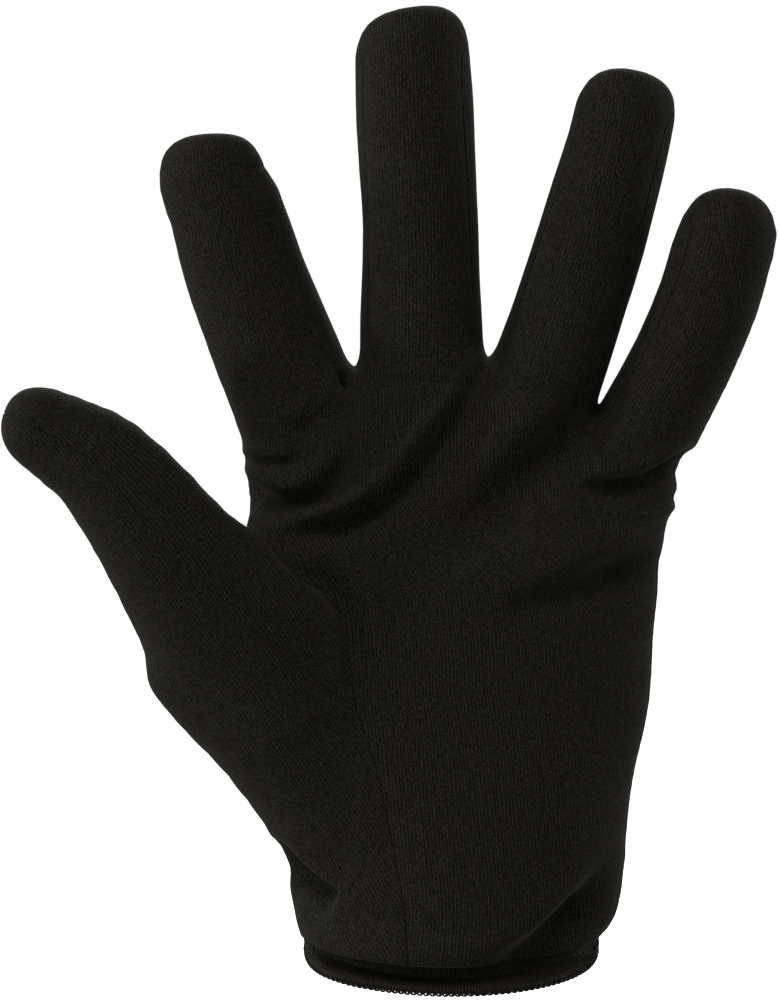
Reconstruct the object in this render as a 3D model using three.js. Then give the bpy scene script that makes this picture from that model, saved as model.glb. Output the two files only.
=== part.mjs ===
// Knitted stretch dress glove for a left hand, in its worn form.
// The palm faces -Y, the fingers point up and the thumb lies on the -X side.
// The origin is the centre of the wrist opening. All sizes are in millimetres.
import * as THREE from 'three';

// Cloth, seams and rolled hem
const WALL = 1.2;
const SEAM_GAP = 0.3;
const HEM_HEIGHT = 3.0;
const HEM_THICKNESS = 2.2;
const HEM_FLARE = 0.3;
const HEM_LEAN = 0.3;
const HEM_TILT = THREE.MathUtils.degToRad(12);

// How softly the limbs grow out of each other
const FINGER_BLEND = 1;
const KNUCKLE_BLEND = 6;
const THUMB_BLEND = 4;
const TIP_ROUNDING = 7;
const PALM_TOP_ROUNDING = 12;
const PALM_TOP = { height: 124.4, middle: -3, fall: 0.011 };
// The thumb side of the hand lies forward of the rest
const THUMB_SIDE = { start: -12, reach: 50, forward: 10, fadeFrom: 80, fadeTo: 106 };

// Grid steps of the panels
const STRIP_COLUMNS = 6;
const TUBE_ROWS = 9;
const CAP_ROWS = 3;
const ROOT_ROWS = 2;
const GUSSET_COLUMNS = 4;
const HEEL_ROWS = 10;
const VEE_STEPS = 7;
const INDEX_SIDE_ROWS = 4;
const THUMB_ROWS = 13;
const THUMB_ROOT_ROWS = 6;
const THUMB_OUTER_COLUMNS = 12;
const HEM_STEPS = 56;
const HEM_SIDES = 8;

// Seams: half the angle that a fourchette takes up on its finger, and the outer seam
const GUSSET_HALF_ANGLE = THREE.MathUtils.degToRad(46);
const OUTER_SEAM_ANGLE = THREE.MathUtils.degToRad(80);

const table = (columns, rows) =>
  rows.map((row) => Object.fromEntries(columns.map((name, i) => [name, row[i]])));

// Limbs from root to tip: centre, half width, half depth. The first row lies inside the palm,
// the second is the root, the last but one the middle of the rounded tip.
const LIMB = ['x', 'y', 'z', 'width', 'depth'];
const FINGERS = {
  index: {
    axis: table(LIMB, [
      [-28.1, 0.0, 105.6, 13.9, 12.6],
      [-33.4, -1.0, 118.6, 13.3, 12.2],
      [-38.4, -2.5, 130.9, 12.9, 11.6],
      [-42.9, -4.5, 143.1, 12.5, 11.0],
      [-46.7, -6.5, 155.5, 11.9, 10.2],
      [-49.4, -7.6, 161.8, 11.2, 9.4],
      [-49.8, -8.2, 172.0, 10.8, 8.8],
    ]),
    tip: { x: -48.8, z: 171.6, lean: -0.03 },
    gussets: { left: false, right: true },
  },
  middle: {
    axis: table(LIMB, [
      [-5.0, -0.5, 108.1, 13.0, 12.8],
      [-5.9, -1.0, 122.0, 13.0, 12.4],
      [-6.1, -3.0, 145.3, 12.4, 11.6],
      [-6.6, -4.5, 159.7, 12.1, 11.0],
      [-7.3, -6.0, 173.9, 12.2, 10.6],
      [-7.8, -7.0, 187.0, 11.9, 9.6],
      [-8.2, -7.6, 199.0, 11.3, 9.0],
    ]),
    tip: { x: -8.0, z: 197.8, lean: -0.12 },
    gussets: { left: true, right: true },
  },
  ring: {
    axis: table(LIMB, [
      [15.6, -0.5, 108.1, 12.6, 12.4],
      [19.9, -1.3, 121.0, 11.8, 11.8],
      [27.3, -3.5, 143.0, 11.5, 10.8],
      [31.1, -5.5, 156.1, 11.0, 10.2],
      [34.7, -7.5, 169.2, 10.7, 9.6],
      [36.1, -8.2, 175.5, 10.6, 9.2],
      [38.7, -9.0, 187.0, 10.0, 8.8],
    ]),
    tip: { x: 36.5, z: 184.8, lean: 0.2 },
    gussets: { left: true, right: true },
  },
  little: {
    axis: table(LIMB, [
      [37.5, -0.5, 103.4, 11.9, 11.6],
      [41.2, -1.2, 110.4, 11.0, 11.0],
      [48.6, -3.5, 125.0, 10.7, 10.2],
      [53.8, -6.5, 137.7, 10.6, 9.6],
      [56.0, -8.2, 145.5, 10.5, 9.2],
      [57.6, -9.2, 151.2, 10.1, 8.8],
      [59.0, -10.0, 162.0, 8.4, 8.0],
    ]),
    tip: { x: 58.8, z: 160.4, lean: 0.16 },
    gussets: { left: true, right: false },
  },
};
const THENAR = table(LIMB, [
  [-24.0, -4.0, 28.0, 11.0, 12.0],
  [-29.0, -6.0, 40.0, 14.0, 13.5],
  [-35.0, -9.0, 52.0, 17.0, 14.0],
  [-41.0, -11.0, 63.0, 19.5, 14.0],
]);
const THUMB_AXIS = table(LIMB, [
  [-44.2, -12.5, 69.5, 19.6, 14.0],
  [-49.2, -15.0, 75.1, 16.9, 13.6],
  [-53.6, -17.5, 80.4, 15.0, 13.0],
  [-61.7, -22.0, 91.5, 12.7, 11.8],
  [-70.3, -25.0, 102.0, 10.8, 10.4],
  [-75.9, -26.0, 106.0, 9.8, 9.4],
  [-82.5, -27.0, 109.6, 8.6, 8.4],
  [-93.0, -28.4, 113.8, 7.3, 7.6],
]);
const THUMB_TIP = { x: -90.9, z: 112.5, lean: -3.2 };

// Palm body at each height: left and right edge, depth in front of and behind the middle plane,
// and how square its oval is (2 is an ellipse)
const BODY = table(['z', 'left', 'right', 'front', 'back', 'square'], [
  [-14, -31.0, 31.0, 23.0, 23.0, 2.0],
  [4, -31.4, 32.0, 22.5, 22.5, 2.0],
  [9, -32.2, 34.6, 22.3, 22.0, 2.0],
  [14, -33.6, 36.4, 22.1, 21.7, 2.1],
  [20, -33.8, 37.0, 21.8, 21.0, 2.1],
  [26, -37.0, 37.2, 21.5, 20.0, 2.2],
  [38, -45.0, 38.5, 20.5, 18.0, 2.3],
  [51, -57.0, 41.3, 19.0, 16.0, 2.4],
  [59, -62.4, 42.3, 18.5, 15.5, 2.4],
  [70, -57.0, 43.2, 17.5, 15.0, 2.4],
  [83, -46.0, 44.5, 16.5, 14.5, 2.4],
  [92, -42.6, 45.6, 16.0, 14.5, 2.4],
  [104, -42.8, 50.0, 15.0, 14.0, 2.4],
  [120, -46.6, 52.0, 13.5, 13.5, 2.4],
]);

// Crotches between neighbouring fingers: top of the web, and how far the gap above it leans
const CROTCHES = table(['x', 'z', 'lean'], [
  [-20.8, 123.0, -0.16],
  [7.1, 124.9, 0.15],
  [31.9, 117.4, 0.4],
]);
const WEB = { depth: 14.5, elevation: THREE.MathUtils.degToRad(54) };

// Seam that sets the thumb into the palm, seen from the front, from its apex in the thumb's
// crotch to the corner where the thumb's front seam starts, and on down to the hem
const SEAM = ['x', 'y', 'z'];
const VEE_FRONT = table(SEAM, [
  [-37.0, -13.5, 86.2],
  [-28.9, -17.0, 80.6],
  [-23.4, -18.0, 74.9],
  [-20.8, -18.5, 64.9],
  [-19.6, -19.0, 53.3],
]);
const HEEL_FRONT = table(SEAM, [
  [-19.6, -19.0, 53.3],
  [-16.3, -20.0, 44.2],
  [-13.8, -21.0, 34.0],
  [-11.4, -22.0, 21.8],
  [-9.6, -22.0, 11.8],
]);
// The same seams on the back of the hand
const VEE_BACK = table(SEAM, [
  [-41.5, 2.0, 86.0],
  [-42.0, 6.0, 80.0],
  [-43.0, 8.0, 73.0],
]);
const HEEL_BACK = table(SEAM, [
  [-43.0, 8.0, 73.0],
  [-45.5, 8.0, 62.0],
  [-45.5, 9.0, 52.0],
  [-41.0, 11.0, 41.0],
  [-33.5, 14.0, 28.0],
  [-28.8, 14.0, 14.0],
]);
// The rows round the heel dip on the thumb's side
const HEEL_DIP = 16;
const APEX = { x: -42.0, y: -6.0, z: 89.7 };
const APEX_ANCHOR = { x: -35.5, y: -5.0, z: 79.0 };
const HEM_CORNER = { front: -8.6, back: -27.5 };

// Folds of the palm, seen from the front: start, bend and end of the valley, its half width and
// depth, and the height of the ridge beside it (left of the way from start to end if positive)
const FOLD = ['x0', 'z0', 'x1', 'z1', 'x2', 'z2', 'width', 'depth', 'ridge'];
const FOLDS = table(FOLD, [
  [-42.0, 99.8, -33.0, 90.0, -20.6, 106.0, 3.4, 1.9, 1.4],
  [-33.6, 109.2, -27.0, 113.5, -22.0, 116.6, 3.2, 0.7, 0.4],
  [-33.6, 88.2, -10.0, 96.0, 6.0, 121.8, 4.6, 1.5, 1.0],
  [29.4, 113.4, 22.0, 104.0, 10.5, 97.7, 4.2, 1.0, 0.6],
  [50.4, 104.4, 44.0, 96.0, 32.6, 98.9, 3.4, 1.9, 1.4],
  [32.1, 110.7, 35.0, 104.0, 39.9, 105.0, 3.2, 0.7, 0.3],
  [45.8, 94.5, 42.0, 92.0, 36.8, 89.7, 3.2, 0.9, 0.5],
  [43.0, 83.4, 30.0, 78.0, 14.7, 74.6, 4.4, 1.2, 0.9],
  [-33.0, 18.9, -31.5, 13.6, -25.2, 13.0, 3.4, 1.3, 0.8],
  [33.0, 15.8, 22.0, 1.0, 4.2, -4.2, 4.6, 1.4, 1.0],
]);
const FOLD_STEPS = 8;
// A ridge lies this many half widths beside its valley, and both fade to a share at their ends
const RIDGE_OFFSET = 1.7;
const FOLD_END = { height: 0.2, from: 0.3, to: 0.75 };
// Folds fade where the cloth turns away from the front, and just above the hem
const FOLD_FACING = { from: 0.05, to: 0.5 };
const FOLD_ABOVE_HEM = { from: -4, to: 7 };

const COLOURS = { cloth: 0x1c1b18, hem: 0x191815 };

const { clamp, lerp, smoothstep } = THREE.MathUtils;
const vector = (x, y, z) => new THREE.Vector3(x, y, z);

function softMin(a, b, blend) {
  const overlap = Math.max(blend - Math.abs(a - b), 0) / blend;
  return Math.min(a, b) - overlap * overlap * blend / 4;
}

const softMax = (a, b, blend) => -softMin(-a, -b, blend);

// Smooth curve through the rows of a table, at a position counted in rows
function sampleRows(rows, position) {
  const i = clamp(Math.floor(position), 0, rows.length - 2);
  const t = position - i;
  const [a, b] = [rows[i], rows[i + 1]];
  const before = rows[Math.max(i - 1, 0)];
  const after = rows[Math.min(i + 2, rows.length - 1)];
  const sample = {};
  for (const name of Object.keys(a)) {
    const startSlope = (b[name] - before[name]) / 2;
    const endSlope = (after[name] - a[name]) / 2;
    const bend = 2 * (a[name] - b[name]) + startSlope + endSlope;
    const rise = 3 * (b[name] - a[name]) - 2 * startSlope - endSlope;
    sample[name] = a[name] + t * (startSlope + t * (rise + t * bend));
  }
  return sample;
}

// Palm body's section at a height
function bodySection(z) {
  const last = BODY.length - 1;
  if (z <= BODY[0].z) return BODY[0];
  if (z >= BODY[last].z) return BODY[last];
  let i = 0;
  while (BODY[i + 1].z < z) i += 1;
  return sampleRows(BODY, i + (z - BODY[i].z) / (BODY[i + 1].z - BODY[i].z));
}

function middlePlane(x, z) {
  const side = clamp((THUMB_SIDE.start - x) / THUMB_SIDE.reach, 0, 1.2);
  const fade = 1 - smoothstep(z, THUMB_SIDE.fadeFrom, THUMB_SIDE.fadeTo);
  return -THUMB_SIDE.forward * side * side * fade;
}

function bodyDistance(p) {
  const section = bodySection(p.z);
  const x = p.x - (section.left + section.right) / 2;
  const y = p.y - middlePlane(p.x, p.z);
  const halfWidth = (section.right - section.left) / 2;
  const depth = y < 0 ? section.front : section.back;
  const n = section.square;
  const size = (Math.abs(x / halfWidth) ** n + Math.abs(y / depth) ** n) ** (1 / n);
  const around = size < 0.1 ? -depth : Math.hypot(x, y) * (1 - 1 / size);
  const top = PALM_TOP.height - PALM_TOP.fall * (p.x - PALM_TOP.middle) ** 2;
  return softMax(around, p.z - top, PALM_TOP_ROUNDING);
}

// A limb is a chain of short oval tubes, cut off softly across its tip
const AXIS_SAMPLES = 60;
function makeLimb(axis, tip, steps) {
  const rows = [];
  for (let i = 0; i <= steps; i += 1) rows.push(sampleRows(axis, (axis.length - 1) * i / steps));
  const normal = vector(tip.lean, 0, 1).normalize();
  return { rows, axis, tip: vector(tip.x, 0, tip.z), normal };
}

function limbDistance(limb, p) {
  let nearest = Infinity;
  for (let i = 0; i + 1 < limb.rows.length; i += 1) {
    const [a, b] = [limb.rows[i], limb.rows[i + 1]];
    const [dx, dy, dz] = [b.x - a.x, b.y - a.y, b.z - a.z];
    const along = ((p.x - a.x) * dx + (p.y - a.y) * dy + (p.z - a.z) * dz) / (dx * dx + dy * dy + dz * dz);
    const t = clamp(along, 0, 1);
    const width = lerp(a.width, b.width, t);
    const squeeze = width / lerp(a.depth, b.depth, t);
    const offset = Math.hypot(
      p.x - a.x - t * dx, (p.y - a.y - t * dy) * squeeze, p.z - a.z - t * dz);
    nearest = Math.min(nearest, offset - width);
  }
  const beyondTip = (p.x - limb.tip.x) * limb.normal.x + (p.z - limb.tip.z) * limb.normal.z;
  return softMax(nearest, beyondTip, TIP_ROUNDING);
}

const fingers = Object.values(FINGERS).map((finger) => ({
  ...makeLimb(finger.axis, finger.tip, 12),
  positions: evenPositions(finger.axis, TUBE_ROWS),
  gussets: finger.gussets,
  across: 'side',
}));
const thumb = {
  ...makeLimb([...THENAR, ...THUMB_AXIS], THUMB_TIP, 22),
  axis: [THENAR[THENAR.length - 1], ...THUMB_AXIS],
  across: 'front',
};
thumb.positions = evenPositions(thumb.axis, THUMB_ROWS);

// The glove's outer form: negative inside, about the distance in millimetres
function form(p) {
  let hand = Infinity;
  for (const finger of fingers) hand = softMin(hand, limbDistance(finger, p), FINGER_BLEND);
  hand = softMin(bodyDistance(p), hand, KNUCKLE_BLEND);
  return softMin(hand, limbDistance(thumb, p), THUMB_BLEND);
}

function formNormal(p) {
  const step = 0.8;
  const slope = (axis) => {
    const ahead = p.clone();
    const behind = p.clone();
    ahead[axis] += step;
    behind[axis] -= step;
    return form(ahead) - form(behind);
  };
  return vector(slope('x'), slope('y'), slope('z')).normalize();
}

// A ray starts inside the form, and the surface is where it first leaves it
const MARCH_STEP = 0.4;
const HALVINGS = 18;
const makeRay = (from, along) => ({ from, along: along.clone().normalize() });

function blendRays(a, b, t) {
  return makeRay(a.from.clone().lerp(b.from, t), a.along.clone().lerp(b.along, t));
}

function surfacePoint(ray) {
  const at = (distance) => ray.from.clone().addScaledVector(ray.along, distance);
  let inside = 0;
  let outside = 0;
  for (let depth = form(ray.from); depth < 0; depth = form(at(outside))) {
    inside = outside;
    outside += Math.max(MARCH_STEP, -depth / 2);
  }
  for (let i = 0; i < HALVINGS; i += 1) {
    const middle = (inside + outside) / 2;
    if (form(at(middle)) < 0) inside = middle;
    else outside = middle;
  }
  return at(inside);
}

// Positions in the axis table, evenly spaced along the limb from its root to the middle of its tip
function evenPositions(axis, steps) {
  const last = axis.length - 2;
  const samples = [];
  let length = 0;
  for (let i = 0; i <= AXIS_SAMPLES; i += 1) {
    const position = 1 + (last - 1) * i / AXIS_SAMPLES;
    const { x, y, z } = sampleRows(axis, position);
    const before = samples[samples.length - 1];
    if (before) length += before.place.distanceTo(vector(x, y, z));
    samples.push({ position, length, place: vector(x, y, z) });
  }
  const positions = [];
  for (let step = 0; step <= steps; step += 1) {
    const wanted = length * step / steps;
    const ahead = Math.max(samples.findIndex((sample) => sample.length >= wanted - 1e-9), 1);
    const [a, b] = [samples[ahead - 1], samples[ahead]];
    positions.push(lerp(a.position, b.position, (wanted - a.length) / (b.length - a.length)));
  }
  return positions;
}

// Ray out of a limb at a station counted from its root; angle 0 is the front, a quarter turn the
// right or upper side. Past the tube's rows the rays turn up to a line across the tip.
const AXIS_SLOPE_SPAN = 0.3;
const CAP_LINE = { start: 0.5, spread: 0.6 };
function limbRay(limb, station, angle) {
  const tubeRows = limb.positions.length - 1;
  const position = limb.positions[Math.min(station, tubeRows)];
  const row = sampleRows(limb.axis, position);
  const behind = sampleRows(limb.axis, position - AXIS_SLOPE_SPAN);
  const ahead = sampleRows(limb.axis, position + AXIS_SLOPE_SPAN);
  const centre = vector(row.x, row.y, row.z);
  const along = vector(ahead.x - behind.x, ahead.y - behind.y, ahead.z - behind.z).normalize();
  const front = vector(0, -1, 0).addScaledVector(along, along.y).normalize();
  const side = along.clone().cross(front);
  const across = limb.across === 'side' ? side : front;
  const share = limb.across === 'side' ? Math.sin(angle) : Math.cos(angle);
  const around = front.clone().multiplyScalar(Math.cos(angle)).addScaledVector(side, Math.sin(angle));
  const tube = makeRay(centre, around);
  if (station <= tubeRows) return tube;
  const turn = 0.5 * Math.PI * (station - tubeRows) / CAP_ROWS;
  const start = CAP_LINE.start * row.width * share * Math.sin(turn);
  const tipFrom = centre.clone().addScaledVector(across, start);
  const tipAlong = around.multiplyScalar(Math.cos(turn)).addScaledVector(along, Math.sin(turn));
  return makeRay(tipFrom, tipAlong.addScaledVector(across, CAP_LINE.spread * share * Math.sin(turn)));
}

const FINGER_ROWS = TUBE_ROWS + CAP_ROWS;

// Angle of a finger's seam from the front, on its left (-1) or right (1) side
function seamAngle(finger, side, station) {
  const gusset = side < 0 ? finger.gussets.left : finger.gussets.right;
  if (!gusset) return side * (side > 0 ? OUTER_SEAM_ANGLE : Math.PI / 2);
  const taper = 1 - smoothstep(station, TUBE_ROWS - 1, FINGER_ROWS);
  return side * (Math.PI / 2 - GUSSET_HALF_ANGLE * taper);
}

// Ray over the web of a crotch: -1 at its front end, 1 at its back end
function webRay(crotch, facing) {
  const up = vector(crotch.lean, 0, 1);
  const from = vector(crotch.x, 0, crotch.z).addScaledVector(up, -WEB.depth);
  const along = up.multiplyScalar(Math.sin(WEB.elevation));
  return makeRay(from, along.setY(facing * Math.cos(WEB.elevation)));
}

// Ray to the side of a finger between its front and back seam. Near the crotch the finger's side
// runs down to the web, so rays there aim between the web and the first full row of the finger.
function sideRay(number, side, share, station) {
  const finger = fingers[number];
  const angle = seamAngle(finger, side, station);
  const full = (at) => blendRays(limbRay(finger, at, angle), limbRay(finger, at, Math.PI - angle), share);
  const crotch = CROTCHES[side < 0 ? number - 1 : number];
  if (!crotch || station >= ROOT_ROWS) return full(station);
  const web = blendRays(webRay(crotch, -1), webRay(crotch, 1), share);
  if (station === 0) return web;
  const target = surfacePoint(web).lerp(surfacePoint(full(ROOT_ROWS)), station / ROOT_ROWS);
  const { from } = full(station);
  return makeRay(from, target.sub(from));
}

// Ray to the seam beside a finger, on the front (-1) or back (1) of the glove
function fingerSeamRay(number, side, facing, station) {
  const finger = fingers[number];
  const gusset = side < 0 ? finger.gussets.left : finger.gussets.right;
  if (!gusset) return limbRay(finger, station, seamAngle(finger, side, station));
  return sideRay(number, side, facing < 0 ? 0 : 1, station);
}

// Front or back strip of a finger: its columns from left to right at a station
function stripRow(number, facing, station) {
  const finger = fingers[number];
  const [left, right] = [seamAngle(finger, -1, station), seamAngle(finger, 1, station)];
  const row = [];
  for (let i = 0; i <= STRIP_COLUMNS; i += 1) {
    if (i === 0 || i === STRIP_COLUMNS) {
      row.push(surfacePoint(fingerSeamRay(number, i === 0 ? -1 : 1, facing, station)));
      continue;
    }
    const t = i / STRIP_COLUMNS;
    const angle = facing < 0
      ? lerp(left, right, t)
      : lerp(-Math.PI - left, (finger.gussets.right ? -Math.PI - right : right - 2 * Math.PI), t);
    row.push(surfacePoint(limbRay(finger, station, angle)));
  }
  return row;
}

// Straight pieces between the rows of a seam's table, divided evenly along its length
function alongSeam(rows, steps) {
  const curve = new THREE.CatmullRomCurve3(rows.map((row) => vector(row.x, row.y, row.z)));
  return curve.getSpacedPoints(steps);
}

// Ray out of the palm body to a place seen from the front (-1) or back (1), leaning out at its
// edges, on the thumb's side only above the thumb
const EDGE_LEAN = { from: 86, to: 98, share: 0.5, power: 6, limit: 0.995 };
function bodyRay(x, z, facing) {
  const section = bodySection(z);
  const centre = (section.left + section.right) / 2;
  const halfWidth = (section.right - section.left) / 2;
  const side = clamp((x - centre) / halfWidth, -EDGE_LEAN.limit, EDGE_LEAN.limit);
  const depth = facing < 0 ? section.front : section.back;
  const pastThumb = x < centre ? smoothstep(z, EDGE_LEAN.from, EDGE_LEAN.to) : 1;
  const lean = EDGE_LEAN.share * pastThumb * Math.abs(side) ** EDGE_LEAN.power;
  const fromX = lerp(x, centre, lean);
  const from = vector(fromX, middlePlane(fromX, z), z);
  const height = middlePlane(x, z) + facing * depth * Math.sqrt(1 - side * side);
  return makeRay(from, vector(x, height, z).sub(from));
}

// Ray out of the palm body at an angle round it, 0 at the front and negative on the thumb's side
function aroundRay(angle, z, tilt) {
  const section = bodySection(z);
  const centre = (section.left + section.right) / 2;
  const halfWidth = (section.right - section.left) / 2;
  const out = 0.5 * halfWidth * Math.sin(angle);
  const depth = Math.cos(angle) > 0 ? section.front : section.back;
  const forward = -depth * Math.cos(angle);
  const from = vector(centre + out, middlePlane(centre + out, z), z);
  return makeRay(from, vector(out, forward, forward * Math.tan(tilt)));
}

const angleAt = (x, z) => {
  const section = bodySection(z);
  const centre = (section.left + section.right) / 2;
  return Math.asin(clamp((x - centre) * 2 / (section.right - section.left), -1, 1));
};

// Lower edge of the panels: a loop round the wrist in a plane that falls towards the front
const HEM_TOP = HEM_HEIGHT + SEAM_GAP;
const hemRay = (angle) => aroundRay(angle, HEM_TOP, HEM_TILT);
const hemAngles = {
  front: angleAt(HEM_CORNER.front, HEM_TOP),
  back: -Math.PI - angleAt(HEM_CORNER.back, HEM_TOP),
  outer: OUTER_SEAM_ANGLE,
};

// Seams as rays, shared by the panels on both sides: straight out to the front or back, except
// near the thumb's crotch, where they fan out from an anchor below it
const apexAnchor = vector(APEX_ANCHOR.x, APEX_ANCHOR.y, APEX_ANCHOR.z);

function veeRays(rows) {
  return alongSeam([APEX, ...rows], VEE_STEPS).map((place, i) => {
    const level = vector(place.x, middlePlane(place.x, place.z), place.z);
    const from = apexAnchor.clone().lerp(level, smoothstep(i, 0, 3));
    return makeRay(from, place.clone().sub(from));
  });
}

function heelRays(rows, hemAngle) {
  const places = alongSeam([...rows, surfacePoint(hemRay(hemAngle))], HEEL_ROWS);
  const rays = places.map((place) => {
    const from = vector(place.x, middlePlane(place.x, place.z), place.z);
    return makeRay(from, place.clone().sub(from));
  });
  rays[HEEL_ROWS] = hemRay(hemAngle);
  return rays;
}

const veeFront = veeRays(VEE_FRONT);
const veeBack = veeRays(VEE_BACK);
const apexRay = veeFront[0];
const heelFront = heelRays(HEEL_FRONT, hemAngles.front);
const heelBack = heelRays(HEEL_BACK, hemAngles.back);
heelFront[0] = veeFront[VEE_STEPS];
heelBack[0] = veeBack[VEE_STEPS];

const BODY_ROWS = HEEL_ROWS + VEE_STEPS + INDEX_SIDE_ROWS;

// Index finger's side between the thumb's crotch and the finger's root
function indexSide() {
  const root = surfacePoint(fingerSeamRay(0, -1, -1, 0));
  const apex = surfacePoint(apexRay);
  const points = [];
  for (let i = 0; i <= INDEX_SIDE_ROWS; i += 1) {
    const t = i / INDEX_SIDE_ROWS;
    const z = lerp(apex.z, root.z, t);
    points.push(surfacePoint(blendRays(apexRay, aroundRay(-Math.PI / 2, z, 0), smoothstep(t, 0, 0.5))));
  }
  points[0] = apex;
  points[INDEX_SIDE_ROWS] = root;
  return points;
}

const indexSidePoints = indexSide();
const bodyLeft = (heel, vee) => [
  ...heel.slice().reverse().map(surfacePoint),
  ...vee.slice(0, -1).reverse().map(surfacePoint),
  ...indexSidePoints.slice(1),
];
const frontLeft = bodyLeft(heelFront, veeFront);
const backLeft = bodyLeft(heelBack, veeBack);

// Outer seam from the hem to the root of the little finger
function outerSeam() {
  const top = surfacePoint(fingerSeamRay(3, 1, -1, 0));
  const bottom = surfacePoint(hemRay(hemAngles.outer));
  const points = [];
  for (let i = 0; i <= BODY_ROWS; i += 1) {
    const z = lerp(bottom.z, top.z, i / BODY_ROWS);
    points.push(surfacePoint(aroundRay(OUTER_SEAM_ANGLE, z, 0)));
  }
  points[0] = bottom;
  points[BODY_ROWS] = top;
  return points;
}

const bodyRight = outerSeam();

// Body of the palm or back panel: rows from hem to finger roots, columns from left to right
function bodyGrid(facing) {
  const left = facing < 0 ? frontLeft : backLeft;
  const top = [];
  for (let finger = 0; finger < fingers.length; finger += 1) {
    top.push(...stripRow(finger, facing, 0).slice(finger === 0 ? 0 : 1));
  }
  const columns = top.length - 1;
  const from = facing < 0 ? hemAngles.front : hemAngles.back;
  const to = facing < 0 ? hemAngles.outer : hemAngles.outer - 2 * Math.PI;
  const bottom = top.map((_, i) => surfacePoint(hemRay(lerp(from, to, i / columns))));
  const grid = [];
  for (let row = 0; row <= BODY_ROWS; row += 1) {
    const v = row / BODY_ROWS;
    const points = [];
    for (let column = 0; column <= columns; column += 1) {
      const u = column / columns;
      if (row === 0) points.push(bottom[column]);
      else if (row === BODY_ROWS) points.push(top[column]);
      else if (column === 0) points.push(left[row]);
      else if (column === columns) points.push(bodyRight[row]);
      else {
        const place = (axis) => lerp(bottom[column][axis], top[column][axis], v)
          + lerp(left[row][axis], bodyRight[row][axis], u)
          - lerp(lerp(bottom[0][axis], top[0][axis], v),
            lerp(bottom[columns][axis], top[columns][axis], v), u);
        points.push(surfacePoint(bodyRay(place('x'), place('z'), facing)));
      }
    }
    grid.push(points);
  }
  return grid;
}

// Surface patches joined at shared points
class Patch {
  constructor() {
    this.points = [];
    this.faces = [];
    this.indices = new Map();
  }

  add(point) {
    const key = point.toArray().map((value) => value.toFixed(4)).join();
    if (!this.indices.has(key)) {
      this.indices.set(key, this.points.length);
      this.points.push(point);
    }
    return this.indices.get(key);
  }

  addGrid(grid) {
    for (let row = 0; row + 1 < grid.length; row += 1) {
      for (let column = 0; column + 1 < grid[row].length; column += 1) {
        const corners = [
          grid[row][column], grid[row][column + 1], grid[row + 1][column + 1], grid[row + 1][column],
        ].map((point) => this.add(point));
        const halves = [[corners[0], corners[1], corners[2]], [corners[0], corners[2], corners[3]]];
        this.faces.push(...halves.filter((face) => new Set(face).size === 3));
      }
    }
  }

  // Edges that only one face has, in that face's direction
  rim() {
    const edges = new Map();
    this.faces.forEach((face) => face.forEach((a, i) => {
      const b = face[(i + 1) % 3];
      if (!edges.delete(`${b}_${a}`)) edges.set(`${a}_${b}`, [a, b]);
    }));
    return [...edges.values()];
  }
}

const foldLines = FOLDS.map((fold) => {
  const start = new THREE.Vector2(fold.x0, fold.z0);
  const bend = new THREE.Vector2(fold.x1, fold.z1);
  const end = new THREE.Vector2(fold.x2, fold.z2);
  const curve = new THREE.QuadraticBezierCurve(start, bend, end);
  return { ...fold, points: curve.getPoints(FOLD_STEPS) };
});

// How far the folds move a point of the front along its normal
function foldHeight(p, normal) {
  const facing = smoothstep(-normal.y, FOLD_FACING.from, FOLD_FACING.to);
  if (facing === 0) return 0;
  let height = 0;
  for (const fold of foldLines) {
    let nearest = Infinity;
    let signed = 0;
    let share = 0;
    for (let i = 0; i < FOLD_STEPS; i += 1) {
      const [a, b] = [fold.points[i], fold.points[i + 1]];
      const [dx, dz] = [b.x - a.x, b.y - a.y];
      const t = clamp(((p.x - a.x) * dx + (p.z - a.y) * dz) / (dx * dx + dz * dz), 0, 1);
      const [ox, oz] = [p.x - a.x - t * dx, p.z - a.y - t * dz];
      const distance = Math.hypot(ox, oz);
      if (distance < nearest) {
        nearest = distance;
        signed = dx * oz - dz * ox < 0 ? -distance : distance;
        share = (i + t) / FOLD_STEPS;
      }
    }
    const along = smoothstep(share, 0, FOLD_END.from) * (1 - smoothstep(share, FOLD_END.to, 1));
    const valley = Math.exp(-((signed / fold.width) ** 2));
    const ridge = Math.exp(-((signed / fold.width - RIDGE_OFFSET) ** 2));
    height += lerp(FOLD_END.height, 1, along) * (fold.ridge * ridge - fold.depth * valley);
  }
  const aboveHem = smoothstep(p.z - HEM_TOP, FOLD_ABOVE_HEM.from, FOLD_ABOVE_HEM.to);
  return height * facing * aboveHem;
}

const DIAGONAL_ORDER = vector(0.36, 0.48, 0.8);

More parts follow.
